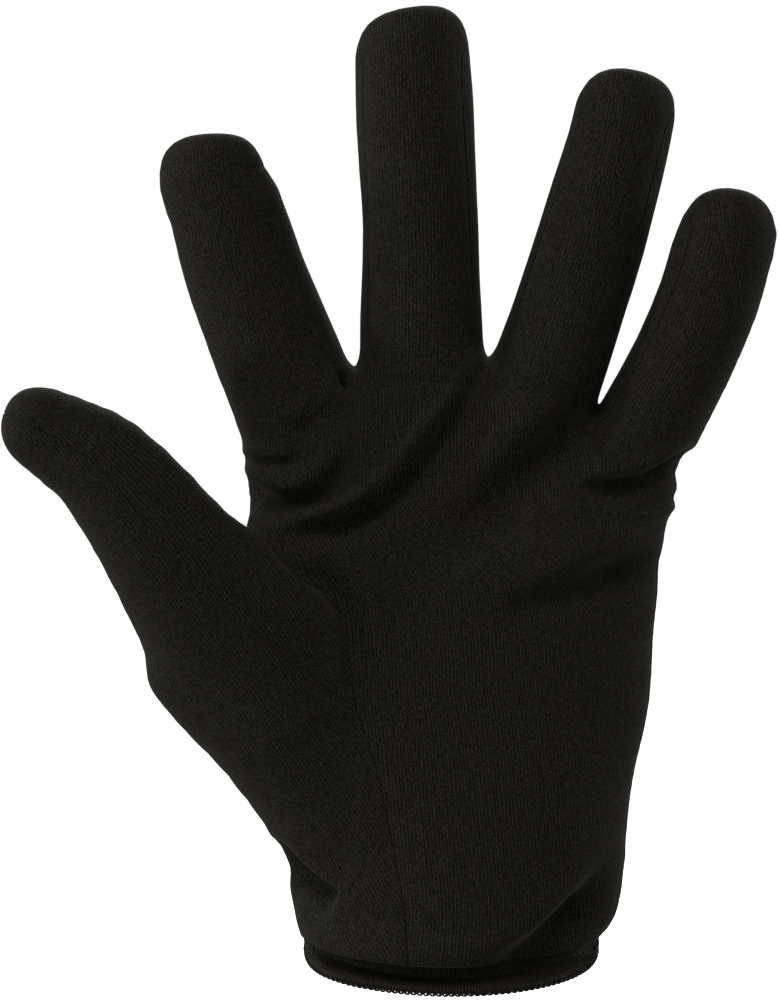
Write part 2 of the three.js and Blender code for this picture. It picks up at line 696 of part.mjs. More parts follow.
// Cloth panel: the patch as outer face, the same patch a wall's thickness further in, and the
// cut edges between them, all drawn back from the seams by half the gap
function makePanel(name, patch) {
  const rim = patch.rim();
  const next = new Map(rim);
  const previous = new Map(rim.map(([a, b]) => [b, a]));
  const outer = [];
  const inner = [];
  patch.points.forEach((point, i) => {
    const normal = formNormal(point);
    const place = point.clone();
    if (next.has(i)) {
      // The rim runs anticlockwise round the panel, which lies on the left of it
      const along = patch.points[next.get(i)].clone().sub(patch.points[previous.get(i)]);
      place.addScaledVector(normal.clone().cross(along).normalize(), SEAM_GAP / 2);
    }
    const height = foldHeight(point, normal);
    outer.push(place.clone().addScaledVector(normal, height));
    inner.push(place.clone().addScaledVector(normal, height - WALL));
  });
  const count = patch.points.length;
  const index = [];
  patch.faces.forEach(([a, b, c]) => index.push(a, b, c, a + count, c + count, b + count));
  // Both panels at a seam split their cut edges along the same diagonal
  rim.forEach(([a, b]) => {
    const rising = patch.points[a].clone().sub(patch.points[b]).dot(DIAGONAL_ORDER) < 0;
    if (rising) index.push(b, a, b + count, a, a + count, b + count);
    else index.push(b, a, a + count, b, a + count, b + count);
  });
  return makeMesh(name, [...outer, ...inner], index, COLOURS.cloth);
}

function makeMesh(name, points, index, colour) {
  const geometry = new THREE.BufferGeometry();
  const values = points.flatMap((point) => point.toArray());
  geometry.setAttribute('position', new THREE.Float32BufferAttribute(values, 3));
  geometry.setIndex(index);
  geometry.computeVertexNormals();
  const material = new THREE.MeshStandardMaterial({ color: colour, roughness: 0.95, metalness: 0 });
  const mesh = new THREE.Mesh(geometry, material);
  mesh.name = name;
  return mesh;
}

// Palm or back: the body and the four finger strips that grow from its top edge
function handPanel(name, facing) {
  const patch = new Patch();
  patch.addGrid(bodyGrid(facing));
  for (let finger = 0; finger < fingers.length; finger += 1) {
    const rows = [];
    for (let station = 0; station <= FINGER_ROWS; station += 1) {
      rows.push(stripRow(finger, facing, station));
    }
    patch.addGrid(rows);
  }
  return makePanel(name, facing > 0 ? flipped(patch) : patch);
}

function flipped(patch) {
  patch.faces.forEach((face) => face.reverse());
  return patch;
}

// Fourchette: down the right side of one finger, over the web and up the left side of the next,
// with a point at each fingertip
function fourchette(name, number) {
  const rows = [];
  const addRow = (finger, side, station) => {
    const row = [];
    for (let i = 0; i <= GUSSET_COLUMNS; i += 1) {
      const share = station < FINGER_ROWS ? i / GUSSET_COLUMNS : 0;
      row.push(surfacePoint(sideRay(finger, side, share, station)));
    }
    rows.push(row);
  };
  for (let station = FINGER_ROWS; station >= 0; station -= 1) addRow(number, 1, station);
  for (let station = 1; station <= FINGER_ROWS; station += 1) addRow(number + 1, -1, station);
  const patch = new Patch();
  patch.addGrid(rows);
  return makePanel(name, flipped(patch));
}

const THUMB_STATIONS = THUMB_ROWS + CAP_ROWS;

// Thumb ray that grows out of the ray at its base
function thumbRay(base, angle, station) {
  const ray = limbRay(thumb, station, angle);
  return blendRays(base, ray, clamp(station / THUMB_ROOT_ROWS, 0, 1));
}

function thumbInner() {
  const base = [...veeFront.slice().reverse(), ...veeBack.slice(1)];
  const rows = [];
  for (let station = 0; station <= THUMB_STATIONS; station += 1) {
    rows.push(base.map((ray, i) => surfacePoint(thumbRay(ray, Math.PI * i / (2 * VEE_STEPS), station))));
  }
  const patch = new Patch();
  patch.addGrid(rows);
  return makePanel('thumb_inner', patch);
}

// Heel ray between the front and back seams, round the thumb's side of the body
function heelRay(row, share) {
  if (row === HEEL_ROWS) return hemRay(lerp(hemAngles.front, hemAngles.back, share));
  const [front, back] = [surfacePoint(heelFront[row]), surfacePoint(heelBack[row])];
  const from = angleAt(front.x, front.z);
  const to = -Math.PI - angleAt(back.x, back.z);
  const dip = HEEL_DIP * Math.sin(Math.PI * share) * (1 - row / HEEL_ROWS);
  return aroundRay(lerp(from, to, share), lerp(front.z, back.z, share) - dip, 0);
}

function thumbOuter() {
  const rows = [];
  const base = [];
  for (let i = 0; i <= THUMB_OUTER_COLUMNS; i += 1) {
    const share = i / THUMB_OUTER_COLUMNS;
    if (i === 0) base.push(heelFront[0]);
    else if (i === THUMB_OUTER_COLUMNS) base.push(heelBack[0]);
    else base.push(heelRay(0, share));
  }
  for (let station = THUMB_STATIONS; station >= 0; station -= 1) {
    rows.push(base.map((ray, i) => {
      const angle = -Math.PI * i / THUMB_OUTER_COLUMNS;
      return surfacePoint(thumbRay(ray, angle, station));
    }));
  }
  for (let row = 1; row <= HEEL_ROWS; row += 1) {
    rows.push(base.map((_, i) => {
      if (i === 0) return surfacePoint(heelFront[row]);
      if (i === THUMB_OUTER_COLUMNS) return surfacePoint(heelBack[row]);
      return surfacePoint(heelRay(row, i / THUMB_OUTER_COLUMNS));
    }));
  }
  const patch = new Patch();
  patch.addGrid(rows);
  return makePanel('thumb_outer', patch);
}

// Rolled hem: a soft bead swept round the wrist opening, just under the panels
function makeHem() {
  const points = [];
  const index = [];
  for (let step = 0; step < HEM_STEPS; step += 1) {
    const ray = aroundRay(2 * Math.PI * step / HEM_STEPS, HEM_HEIGHT / 2, HEM_TILT);
    const edge = surfacePoint(ray);
    const out = formNormal(edge).setZ(0).normalize();
    for (let side = 0; side < HEM_SIDES; side += 1) {
      const turn = 2 * Math.PI * (side + 0.5) / HEM_SIDES;
      const round = 1 / (Math.cos(turn) ** 4 + Math.sin(turn) ** 4) ** 0.25;
      const rise = 0.5 * HEM_HEIGHT * Math.sin(turn) * round;
      const outset = HEM_FLARE + 0.5 * HEM_THICKNESS * Math.cos(turn) * round - HEM_LEAN * rise;
      points.push(edge.clone().addScaledVector(out, outset - WALL / 2).add(vector(0, 0, rise)));
      const next = (step + 1) % HEM_STEPS;
      const up = (side + 1) % HEM_SIDES;
      const [a, b] = [step * HEM_SIDES + side, next * HEM_SIDES + side];
      const [c, d] = [next * HEM_SIDES + up, step * HEM_SIDES + up];
      index.push(a, b, c, a, c, d);
    }
  }
  return makeMesh('hem', points, index, COLOURS.hem);
}

const glove = new THREE.Group();
glove.add(
  handPanel('palm', -1),
  handPanel('back', 1),
  thumbInner(),
  thumbOuter(),
  fourchette('fourchette_index_middle', 0),
  fourchette('fourchette_middle_ring', 1),
  fourchette('fourchette_ring_little', 2),
  makeHem(),
);

export default glove;
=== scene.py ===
import math

import bpy
import numpy as np
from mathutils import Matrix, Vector
from mathutils.kdtree import KDTree


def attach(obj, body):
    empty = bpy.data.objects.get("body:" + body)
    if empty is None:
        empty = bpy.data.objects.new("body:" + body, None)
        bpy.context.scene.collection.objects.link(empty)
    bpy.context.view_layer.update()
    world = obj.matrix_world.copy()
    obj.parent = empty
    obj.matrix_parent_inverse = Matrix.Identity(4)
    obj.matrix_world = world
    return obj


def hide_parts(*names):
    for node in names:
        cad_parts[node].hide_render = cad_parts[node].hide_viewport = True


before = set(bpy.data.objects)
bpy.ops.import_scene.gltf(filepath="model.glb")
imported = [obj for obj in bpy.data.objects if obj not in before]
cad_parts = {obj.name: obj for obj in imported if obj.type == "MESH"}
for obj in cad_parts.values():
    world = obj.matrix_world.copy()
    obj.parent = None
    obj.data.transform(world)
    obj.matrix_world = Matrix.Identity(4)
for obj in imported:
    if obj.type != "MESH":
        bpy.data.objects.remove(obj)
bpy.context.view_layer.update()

# Camera: square to the palm, level with the middle of the glove and 700 mm in front of the
# origin. One pixel of the 779 by 1000 frame is 0.21 mm at the depth of the origin.
MM = 0.001
CAMERA_PLACE = Vector((-12.7, -700.0, 95.6)) * MM
FRAME_HEIGHT = 210.0
CAMERA_LENS = 80.0

camera = bpy.data.objects.new("camera", bpy.data.cameras.new("camera"))
camera.location = CAMERA_PLACE
camera.rotation_euler = (math.pi / 2, 0, 0)
camera.data.lens = CAMERA_LENS
camera.data.sensor_width = CAMERA_LENS * FRAME_HEIGHT * MM / -CAMERA_PLACE.y
camera.data.clip_start = 0.05
camera.data.clip_end = 50
bpy.context.scene.collection.objects.link(camera)
bpy.context.scene.camera = camera

# Studio: a white backdrop far off on every side and a white floor, lit from within, well below
# the glove, which is held up at its wrist. Less than half of the backdrop's light reaches it.
# One soft light stands up and to the left of the camera, a small one low on the thumb's side, and
# three more graze its sides from behind and light its back.
FLOOR_DROP = 0.12
FLOOR_SIZE = 24.0
FLOOR_COLOUR = "#f4f3f0"
FLOOR_GLOW = 0.9
FLOOR_GRAIN = 40.0
FLOOR_SHADE = 0.97
SURROUND_COLOUR = "#ffffff"
SURROUND_SEEN = 1.05
SURROUND_LIGHT = 0.45
SOFT_LIGHTS = (
    # name, place and size in metres, power in watts
    ("light_main", (-0.35, -0.60, 1.0), 0.42, 4.4),
    ("light_left", (-1.0, 0.0, 0.5), 0.4, 4.4),
    ("light_right", (1.0, 0.35, 0.45), 0.5, 5.5),
    ("light_low", (-1.0, -0.3, -0.04), 0.1, 4.8),
    ("light_back", (0.2, 0.95, 0.75), 0.7, 8.0),
)


def linear(hex_colour):
    """Linear RGBA of an sRGB hex colour."""
    parts = [int(hex_colour[i:i + 2], 16) / 255 for i in (1, 3, 5)]
    return tuple(c / 12.92 if c <= 0.04045 else ((c + 0.055) / 1.055) ** 2.4 for c in parts) + (1.0,)


def add_node(tree, kind, settings=None, **inputs):
    """Adds a node. Its inputs are values, or sockets or nodes to link, a node by its first output.
    They are named with an underscore for each space, or numbered after an i."""
    node = tree.nodes.new(kind)
    for name, value in (settings or {}).items():
        setattr(node, name, value)
    for name, value in inputs.items():
        key = int(name[1:]) if name[0] == "i" and name[1:].isdigit() else name.replace("_", " ")
        socket = node.inputs[key]
        if isinstance(value, bpy.types.Node):
            value = value.outputs[0]
        if isinstance(value, bpy.types.NodeSocket):
            tree.links.new(value, socket)
        else:
            socket.default_value = value
    return node


def new_material(name):
    """A material with an empty tree and an output node."""
    material = bpy.data.materials.new(name)
    material.use_nodes = True
    tree = material.node_tree
    tree.nodes.clear()
    return material, tree


world = bpy.data.worlds.new("surround")
world.use_nodes = True
world.node_tree.nodes.clear()
seen = add_node(world.node_tree, "ShaderNodeLightPath")
strength = add_node(world.node_tree, "ShaderNodeMapRange", Value=seen.outputs["Is Camera Ray"],
                    To_Min=SURROUND_LIGHT, To_Max=SURROUND_SEEN)
backdrop = add_node(world.node_tree, "ShaderNodeBackground", Color=linear(SURROUND_COLOUR),
                    Strength=strength.outputs["Result"])
add_node(world.node_tree, "ShaderNodeOutputWorld", Surface=backdrop.outputs[0])
bpy.context.scene.world = world
bpy.context.scene.view_settings.view_transform = "Standard"

# Matt painted floor, so it takes no reflection of the glove
floor_paint, tree = new_material("matt_white_paint")
grain = add_node(tree, "ShaderNodeTexNoise", Scale=FLOOR_GRAIN, Detail=2.0)
shade = add_node(tree, "ShaderNodeMapRange", Value=grain.outputs["Fac"], To_Min=FLOOR_SHADE, To_Max=1.0)
tint = add_node(tree, "ShaderNodeMix", {"data_type": "RGBA", "blend_type": "MULTIPLY"}, Factor=1.0,
                i6=linear(FLOOR_COLOUR), i7=shade.outputs["Result"])
paint = add_node(tree, "ShaderNodeBsdfPrincipled", Base_Color=tint.outputs[2], Roughness=0.9,
                 Emission_Color=linear(SURROUND_COLOUR), Emission_Strength=FLOOR_GLOW)
add_node(tree, "ShaderNodeOutputMaterial", Surface=paint.outputs[0])

bpy.ops.mesh.primitive_plane_add(size=FLOOR_SIZE, location=(0, 0, -FLOOR_DROP))
floor = bpy.context.object
floor.name = "floor"
floor.data.materials.append(floor_paint)
floor.visible_diffuse = False
floor.visible_glossy = False

for name, place, size, power in SOFT_LIGHTS:
    lamp = bpy.data.lights.new(name, "AREA")
    lamp.shape = "DISK"
    lamp.size = size
    lamp.energy = power
    lamp_object = bpy.data.objects.new(name, lamp)
    lamp_object.location = place
    aim = Vector((0, 0, FRAME_HEIGHT * MM / 2)) - lamp_object.location
    lamp_object.rotation_euler = aim.to_track_quat("-Z", "Y").to_euler()
    bpy.context.scene.collection.objects.link(lamp_object)

# Palm panel: the front of the glove with that of all four fingers, cut in one piece from a fine
# stretch jersey. It is sewn inside out along its edge, so each seam shows only as a narrow
# groove where two rolled edges of cloth meet.
FINGER_BLEND = 1.0
KNUCKLE_BLEND = 6.0
THUMB_BLEND = 4.0
TIP_ROUNDING = 9.0
PALM_TOP_ROUNDING = 12.0
PALM_TOP = {"height": 124.4, "middle": -3.0, "fall": 0.011}
THUMB_SIDE = {"start": -12.0, "reach": 50.0, "forward": 10.0, "fade_from": 80.0, "fade_to": 106.0,
              "limit": 1.2}
# Half the width of the side strips, in degrees round each finger's left and right side
GUSSET_HALF_ANGLES = ((0, 44), (24, 30), (24, 34), (38, 0))
OUTER_SEAM_ANGLE = math.radians(80)

# Limbs from root to tip: x, y, z of the centre, half width, half depth. The first row lies
# inside the palm, the second is the root, the last but one the middle of the rounded tip.
INDEX_AXIS = np.array([
    (-28.1, 0.0, 105.6, 13.9, 12.6),
    (-33.4, -1.0, 118.6, 13.3, 12.2),
    (-38.4, -2.5, 130.9, 12.9, 11.6),
    (-42.9, -4.5, 143.1, 12.5, 11.0),
    (-46.7, -6.5, 155.5, 11.9, 10.2),
    (-49.4, -7.6, 161.8, 11.2, 9.4),
    (-49.8, -8.2, 172.0, 10.8, 8.8),
])
MIDDLE_AXIS = np.array([
    (-5.0, -0.5, 108.1, 13.0, 12.8),
    (-5.9, -1.0, 122.0, 13.0, 12.4),
    (-6.1, -3.0, 145.3, 12.4, 11.6),
    (-6.6, -4.5, 159.7, 12.1, 11.0),
    (-7.3, -6.0, 173.9, 12.2, 10.6),
    (-7.8, -7.0, 187.0, 11.9, 9.6),
    (-8.2, -7.6, 199.0, 11.3, 9.0),
])
RING_AXIS = np.array([
    (15.6, -0.5, 108.1, 12.6, 12.4),
    (19.9, -1.3, 121.0, 11.8, 11.8),
    (27.3, -3.5, 143.0, 11.5, 10.8),
    (31.1, -5.5, 156.1, 11.0, 10.2),
    (34.7, -7.5, 169.2, 10.7, 9.6),
    (36.1, -8.2, 175.5, 10.6, 9.2),
    (38.7, -9.0, 187.0, 10.0, 8.8),
])
LITTLE_AXIS = np.array([
    (37.5, -0.5, 103.4, 11.9, 11.6),
    (41.2, -1.2, 110.4, 11.0, 11.0),
    (48.6, -3.5, 125.0, 10.7, 10.2),
    (53.8, -6.5, 137.7, 10.6, 9.6),
    (56.0, -8.2, 145.5, 10.5, 9.2),
    (57.6, -9.2, 151.2, 10.1, 8.8),
    (59.0, -10.0, 162.0, 8.4, 8.0),
])
THENAR = np.array([
    (-24.0, -4.0, 28.0, 11.0, 12.0),
    (-29.0, -6.0, 40.0, 14.0, 13.5),
    (-35.0, -9.0, 52.0, 17.0, 14.0),
    (-41.0, -11.0, 63.0, 19.5, 14.0),
])
THUMB_AXIS = np.array([
    (-44.2, -12.5, 69.5, 19.6, 14.0),
    (-49.2, -15.0, 75.1, 16.9, 13.6),
    (-53.6, -17.5, 80.4, 15.0, 13.0),
    (-61.7, -22.0, 91.5, 12.7, 11.8),
    (-70.3, -25.0, 102.0, 10.8, 10.4),
    (-75.9, -26.0, 106.0, 9.8, 9.4),
    (-82.5, -27.0, 109.6, 8.6, 8.4),
    (-93.0, -28.4, 113.8, 7.3, 7.6),
])
# Palm body at each height: z, left and right edge, depth in front of and behind the middle
# plane, and how square its oval is
BODY = np.array([
    (-14, -31.0, 31.0, 23.0, 23.0, 2.0),
    (4, -31.4, 32.0, 22.5, 22.5, 2.0),
    (9, -32.2, 34.6, 22.3, 22.0, 2.0),
    (14, -33.6, 36.4, 22.1, 21.7, 2.1),
    (20, -33.8, 37.0, 21.8, 21.0, 2.1),
    (26, -37.0, 37.2, 21.5, 20.0, 2.2),
    (38, -45.0, 38.5, 20.5, 18.0, 2.3),
    (51, -57.0, 41.3, 19.0, 16.0, 2.4),
    (59, -62.4, 42.3, 18.5, 15.5, 2.4),
    (70, -57.0, 43.2, 17.5, 15.0, 2.4),
    (83, -46.0, 44.5, 16.5, 14.5, 2.4),
    (92, -42.6, 45.6, 16.0, 14.5, 2.4),
    (104, -42.8, 50.0, 15.0, 14.0, 2.4),
    (120, -46.6, 52.0, 13.5, 13.5, 2.4),
])


def smoothstep(value, start, end):
    share = np.clip((value - start) / (end - start), 0.0, 1.0)
    return share * share * (3.0 - 2.0 * share)


def mix(a, b, share):
    return a + (b - a) * share


def unit(vectors):
    return vectors / np.linalg.norm(vectors, axis=-1, keepdims=True)


def soft_min(a, b, blend):
    overlap = np.maximum(blend - np.abs(a - b), 0.0) / blend
    return np.minimum(a, b) - overlap * overlap * blend / 4.0


def soft_max(a, b, blend):
    return -soft_min(-a, -b, blend)


def sample_rows(rows, position):
    """Smooth curve through the rows of a table, at positions counted in rows."""
    position = np.atleast_1d(position)
    i = np.clip(np.floor(position).astype(int), 0, len(rows) - 2)
    t = (position - i)[:, None]
    a, b = rows[i], rows[i + 1]
    start_slope = (b - rows[np.maximum(i - 1, 0)]) / 2.0
    end_slope = (rows[np.minimum(i + 2, len(rows) - 1)] - a) / 2.0
    bend = 2.0 * (a - b) + start_slope + end_slope
    rise = 3.0 * (b - a) - 2.0 * start_slope - end_slope
    return a + t * (start_slope + t * (rise + t * bend))


def body_section(z):
    """Left, right, front, back and squareness of the palm body at each height."""
    return sample_rows(BODY, np.interp(z, BODY[:, 0], np.arange(len(BODY))))[:, 1:].T


def middle_plane(x, z):
    side = np.clip((THUMB_SIDE["start"] - x) / THUMB_SIDE["reach"], 0.0, THUMB_SIDE["limit"])
    fade = 1.0 - smoothstep(z, THUMB_SIDE["fade_from"], THUMB_SIDE["fade_to"])
    return -THUMB_SIDE["forward"] * side * side * fade


def body_distance(x, y, z):
    left, right, front, back, square = body_section(z)
    across = x - (left + right) / 2.0
    forward = y - middle_plane(x, z)
    half_width = (right - left) / 2.0
    depth = np.where(forward < 0, front, back)
    size = (np.abs(across / half_width) ** square + np.abs(forward / depth) ** square) ** (1.0 / square)
    around = np.where(size < 0.1, -depth, np.hypot(across, forward) * (1.0 - 1.0 / np.maximum(size, 0.1)))
    top = PALM_TOP["height"] - PALM_TOP["fall"] * (x - PALM_TOP["middle"]) ** 2
    return soft_max(around, z - top, PALM_TOP_ROUNDING)


FINGER_TUBES = 12
THUMB_TUBES = 22
LENGTH_SAMPLES = 61


class Limb:
    """A chain of short oval tubes, cut off softly on a leaning line through its tip's x and z."""

    def __init__(self, axis, tip, lean, tubes=FINGER_TUBES, inner=None, across_front=False):
        whole = axis if inner is None else np.vstack([inner, axis])
        self.axis = axis if inner is None else np.vstack([inner[-1:], axis])
        self.rows = sample_rows(whole, np.linspace(0, len(whole) - 1, tubes + 1))
        self.tip = tip
        self.lean = np.array((lean, 1.0)) / math.hypot(lean, 1.0)
        self.across_front = across_front
        self.places = np.linspace(1, len(self.axis) - 2, LENGTH_SAMPLES)
        points = sample_rows(self.axis, self.places)[:, :3]
        steps_along = np.linalg.norm(np.diff(points, axis=0), axis=1)
        self.lengths = np.concatenate([[0.0], np.cumsum(steps_along)])

    def distance(self, x, y, z):
        nearest = np.full(len(x), 1e9)
        for a, b in zip(self.rows[:-1], self.rows[1:]):
            dx, dy, dz = (b - a)[:3]
            ox, oy, oz = x - a[0], y - a[1], z - a[2]
            t = np.clip((ox * dx + oy * dy + oz * dz) / (dx * dx + dy * dy + dz * dz), 0.0, 1.0)
            width = a[3] + t * (b[3] - a[3])
            squeeze = width / (a[4] + t * (b[4] - a[4]))
            ox, oy, oz = ox - t * dx, (oy - t * dy) * squeeze, oz - t * dz
            nearest = np.minimum(nearest, np.sqrt(ox * ox + oy * oy + oz * oz) - width)
        beyond = (x - self.tip[0]) * self.lean[0] + (z - self.tip[1]) * self.lean[1]
        return soft_max(nearest, beyond, TIP_ROUNDING)


FINGERS = (
    Limb(INDEX_AXIS, tip=(-48.8, 171.6), lean=-0.03),
    Limb(MIDDLE_AXIS, tip=(-8.0, 197.8), lean=-0.12),
    Limb(RING_AXIS, tip=(36.5, 184.8), lean=0.2),
    Limb(LITTLE_AXIS, tip=(58.8, 160.4), lean=0.16),
)
THUMB = Limb(THUMB_AXIS, tip=(-90.9, 112.5), lean=-3.2, tubes=THUMB_TUBES, inner=THENAR, across_front=True)


def form(points):
    """The filled glove's outer form: negative inside, about the distance in millimetres."""
    x, y, z = np.ascontiguousarray(points.T)
    glove = np.full(len(x), 1e9)
    for finger in FINGERS:
        glove = soft_min(glove, finger.distance(x, y, z), FINGER_BLEND)
    glove = soft_min(body_distance(x, y, z), glove, KNUCKLE_BLEND)
    return soft_min(glove, THUMB.distance(x, y, z), THUMB_BLEND)


NORMAL_STEP = 0.8


def form_rise(points):
    """How much the form's distance grows over twice NORMAL_STEP along each axis."""
    steps = np.eye(3) * NORMAL_STEP
    return np.array([form(points + step) - form(points - step) for step in steps]).T


def form_normal(points):
    return unit(form_rise(points))


MARCH_STEP = 0.4
HALVINGS = 9


def surface(rays):
    """Where each ray, from a place inside, first leaves the form."""
    shape = rays[0].shape
    origin = rays[0].reshape(-1, 3)
    along = unit(rays[1].reshape(-1, 3))
    inside = np.zeros(len(origin))
    outside = np.zeros(len(origin))
    depth = form(origin)
    active = np.flatnonzero(depth < 0)
    while len(active):
        inside[active] = outside[active]
        outside[active] += np.maximum(MARCH_STEP, -depth[active] / 2.0)
        depth[active] = form(origin[active] + along[active] * outside[active, None])
        active = active[depth[active] < 0]
    for _ in range(HALVINGS):
        middle = (inside + outside) / 2.0
        is_in = form(origin + along * middle[:, None]) < 0
        inside = np.where(is_in, middle, inside)
        outside = np.where(is_in, outside, middle)
    return (origin + along * inside[:, None]).reshape(shape)


def blend_rays(a, b, share):
    share = np.asarray(share)[..., None]
    return mix(a[0], b[0], share), mix(unit(a[1]), unit(b[1]), share)


# Stations along a limb: 0 is its root and TUBE_END is where its rounded tip starts, which takes
# CAP_STATIONS more
TUBE_END = {"finger": 9.0, "thumb": 13.0}
CAP_STATIONS = 3.0
CAP_LINE = {"start": 0.5, "spread": 0.6}
AXIS_SLOPE_SPAN = 0.3


def limb_rays(limb, station, angle):
    """Rays out of a limb; angle 0 is the front, a quarter turn the right or upper side. Past
    the tube's end the rays turn up to a line across the tip."""
    station, angle = np.broadcast_arrays(np.asarray(station, float), np.asarray(angle, float))
    shape = station.shape + (3,)
    station, angle = station.ravel(), angle.ravel()
    tube_end = TUBE_END["thumb" if limb.across_front else "finger"]
    length = np.minimum(station, tube_end) / tube_end * limb.lengths[-1]
    position = np.interp(length, limb.lengths, limb.places)
    row = sample_rows(limb.axis, position)
    ahead = sample_rows(limb.axis, position + AXIS_SLOPE_SPAN)
    behind = sample_rows(limb.axis, position - AXIS_SLOPE_SPAN)
    along = unit((ahead - behind)[:, :3])
    front = unit(np.array((0.0, -1.0, 0.0)) + along * along[:, 1:2])
    side = np.cross(along, front)
    cosine, sine = np.cos(angle)[:, None], np.sin(angle)[:, None]
    around = front * cosine + side * sine
    across, share = (front, cosine) if limb.across_front else (side, sine)
    turn = 0.5 * math.pi * np.maximum(station - tube_end, 0.0)[:, None] / CAP_STATIONS
    origin = row[:, :3] + across * (CAP_LINE["start"] * row[:, 3:4] * share * np.sin(turn))
    aim = around * np.cos(turn) + along * np.sin(turn) + across * (CAP_LINE["spread"] * share * np.sin(turn))
    return origin.reshape(shape), aim.reshape(shape)


# Crotches between neighbouring fingers: x and z of the web's top, and how far the gap above leans
CROTCHES = ((-20.8, 123.0, -0.16), (7.1, 124.9, 0.15), (31.9, 117.4, 0.4))
WEB = {"depth": 14.5, "elevation": math.radians(54)}
ROOT_STATIONS = 2.0
ABOVE_ROOT = 1.5
FINGER_END = TUBE_END["finger"] + CAP_STATIONS


def has_gusset(number, side):
    return 0 <= (number - 1 if side < 0 else number) < len(CROTCHES)


def seam_angle(number, side, station):
    """Angle from the front of the seam on a finger's left (-1) or right (1) side."""
    if not has_gusset(number, side):
        return np.full(np.shape(station), side * (OUTER_SEAM_ANGLE if side > 0 else math.pi / 2))
    taper = 1.0 - smoothstep(station, TUBE_END["finger"] - 1.0, FINGER_END)
    half = math.radians(GUSSET_HALF_ANGLES[number][0 if side < 0 else 1])
    return side * (math.pi / 2 - half * taper)


def web_rays(number, share):
    """Rays over the web of a crotch, share 0 at its front end and 1 at its back end."""
    x, z, lean = CROTCHES[number]
    up = np.array((lean, 0.0, 1.0))
    origin = np.array((x, 0.0, z)) - up * WEB["depth"]
    ends = []
    for facing in (-1.0, 1.0):
        end = up * math.sin(WEB["elevation"])
        end[1] = facing * math.cos(WEB["elevation"])
        ends.append(unit(end))
    share = np.asarray(share, float)[..., None]
    return np.broadcast_to(origin, share.shape[:-1] + (3,)), mix(ends[0], ends[1], share)


def hermite(a, b, a_slope, b_slope, t):
    """Smooth curve from a to b that starts and ends with the given slopes."""
    return (a * (2 * t ** 3 - 3 * t ** 2 + 1) + a_slope * (t ** 3 - 2 * t ** 2 + t)
            + b * (3 * t ** 2 - 2 * t ** 3) + b_slope * (t ** 3 - t ** 2))


def side_rays(number, side, share, station):
    """Rays to the side of a finger between its front (0) and back (1) seam. Near the crotch
    they run down to the web on a smooth curve."""
    share, station = np.broadcast_arrays(np.asarray(share, float), np.asarray(station, float))

    def full(at):
        angle = seam_angle(number, side, at)
        return blend_rays(limb_rays(FINGERS[number], at, angle),
                          limb_rays(FINGERS[number], at, math.pi - angle), share)

    rays = full(station)
    if has_gusset(number, side):
        near = station < ROOT_STATIONS
        crotch = number - 1 if side < 0 else number
        web = surface(web_rays(crotch, share))
        root = surface(full(np.full(station.shape, ROOT_STATIONS)))
        above = surface(full(np.full(station.shape, ROOT_STATIONS * ABOVE_ROOT)))
        t = np.minimum(station / ROOT_STATIONS, 1.0)[..., None]
        target = hermite(web, root, root - web, (above - root) / (ABOVE_ROOT - 1.0), t)
        origin = mix(web_rays(crotch, share)[0], rays[0], smoothstep(t, 0.0, 1.0))
        rays = origin, np.where(near[..., None], target - origin, rays[1])
    return rays


# Distances from a seam of the first grid lines, then the even step of the rest
SEAM_LINES = (0.0, 0.13, 0.27, 0.42, 0.62, 0.9, 1.3, 1.85)
GRID_STEP = 0.8


def seam_spacing(length, start=True, end=True, step=GRID_STEP):
    """Shares 0 to 1 along a length, with closer lines near a seam at either end."""
    low = np.array(SEAM_LINES if start else (0.0,))
    high = length - np.array(SEAM_LINES if end else (0.0,))[::-1]
    count = max(2, round((high[0] - low[-1]) / step))
    between = np.linspace(low[-1], high[0], count + 1)[1:-1]
    return np.concatenate([low, between, high]) / length


STRIP_WIDTH = 22.0
STRIP_PULL = 3
STRIP_SHARES = seam_spacing(STRIP_WIDTH)
FINGER_CAP_LENGTH = 14.0


def finger_stations(number, tip_seam=True):
    tube = FINGERS[number].lengths[-1]
    along = np.linspace(0.0, TUBE_END["finger"], round(tube / GRID_STEP) + 1)
    cap = seam_spacing(FINGER_CAP_LENGTH, start=False, end=tip_seam)
    return np.concatenate([along, TUBE_END["finger"] + CAP_STATIONS * cap[1:]])


def strip_grid(number, facing):
    """Front (-1) or back (1) strip of a finger: rows from root to tip, columns left to right."""
    station = finger_stations(number)[:, None]
    left = seam_angle(number, -1, station)
    right = seam_angle(number, 1, station)
    share = STRIP_SHARES[None, :]
    if facing < 0:
        angle = mix(left, right, share)
    else:
        right_back = -math.pi - right if has_gusset(number, 1) else right - 2 * math.pi
        angle = mix(-math.pi - left, right_back, share)
    origin, aim = limb_rays(FINGERS[number], np.broadcast_to(station, angle.shape), angle)
    first = origin.copy(), unit(aim)
    origin, aim = origin.copy(), unit(aim)
    for side, column, pull in ((-1, 0, (1 - share) ** STRIP_PULL), (1, -1, share ** STRIP_PULL)):
        if has_gusset(number, side):
            seam = side_rays(number, side, 0.0 if facing < 0 else 1.0, station[:, 0])
            origin += (seam[0] - first[0][:, column])[:, None] * pull[..., None]
            aim += (unit(seam[1]) - first[1][:, column])[:, None] * pull[..., None]
    return surface((origin, aim))


PALM_STRIPS = [strip_grid(number, -1) for number in range(len(FINGERS))]

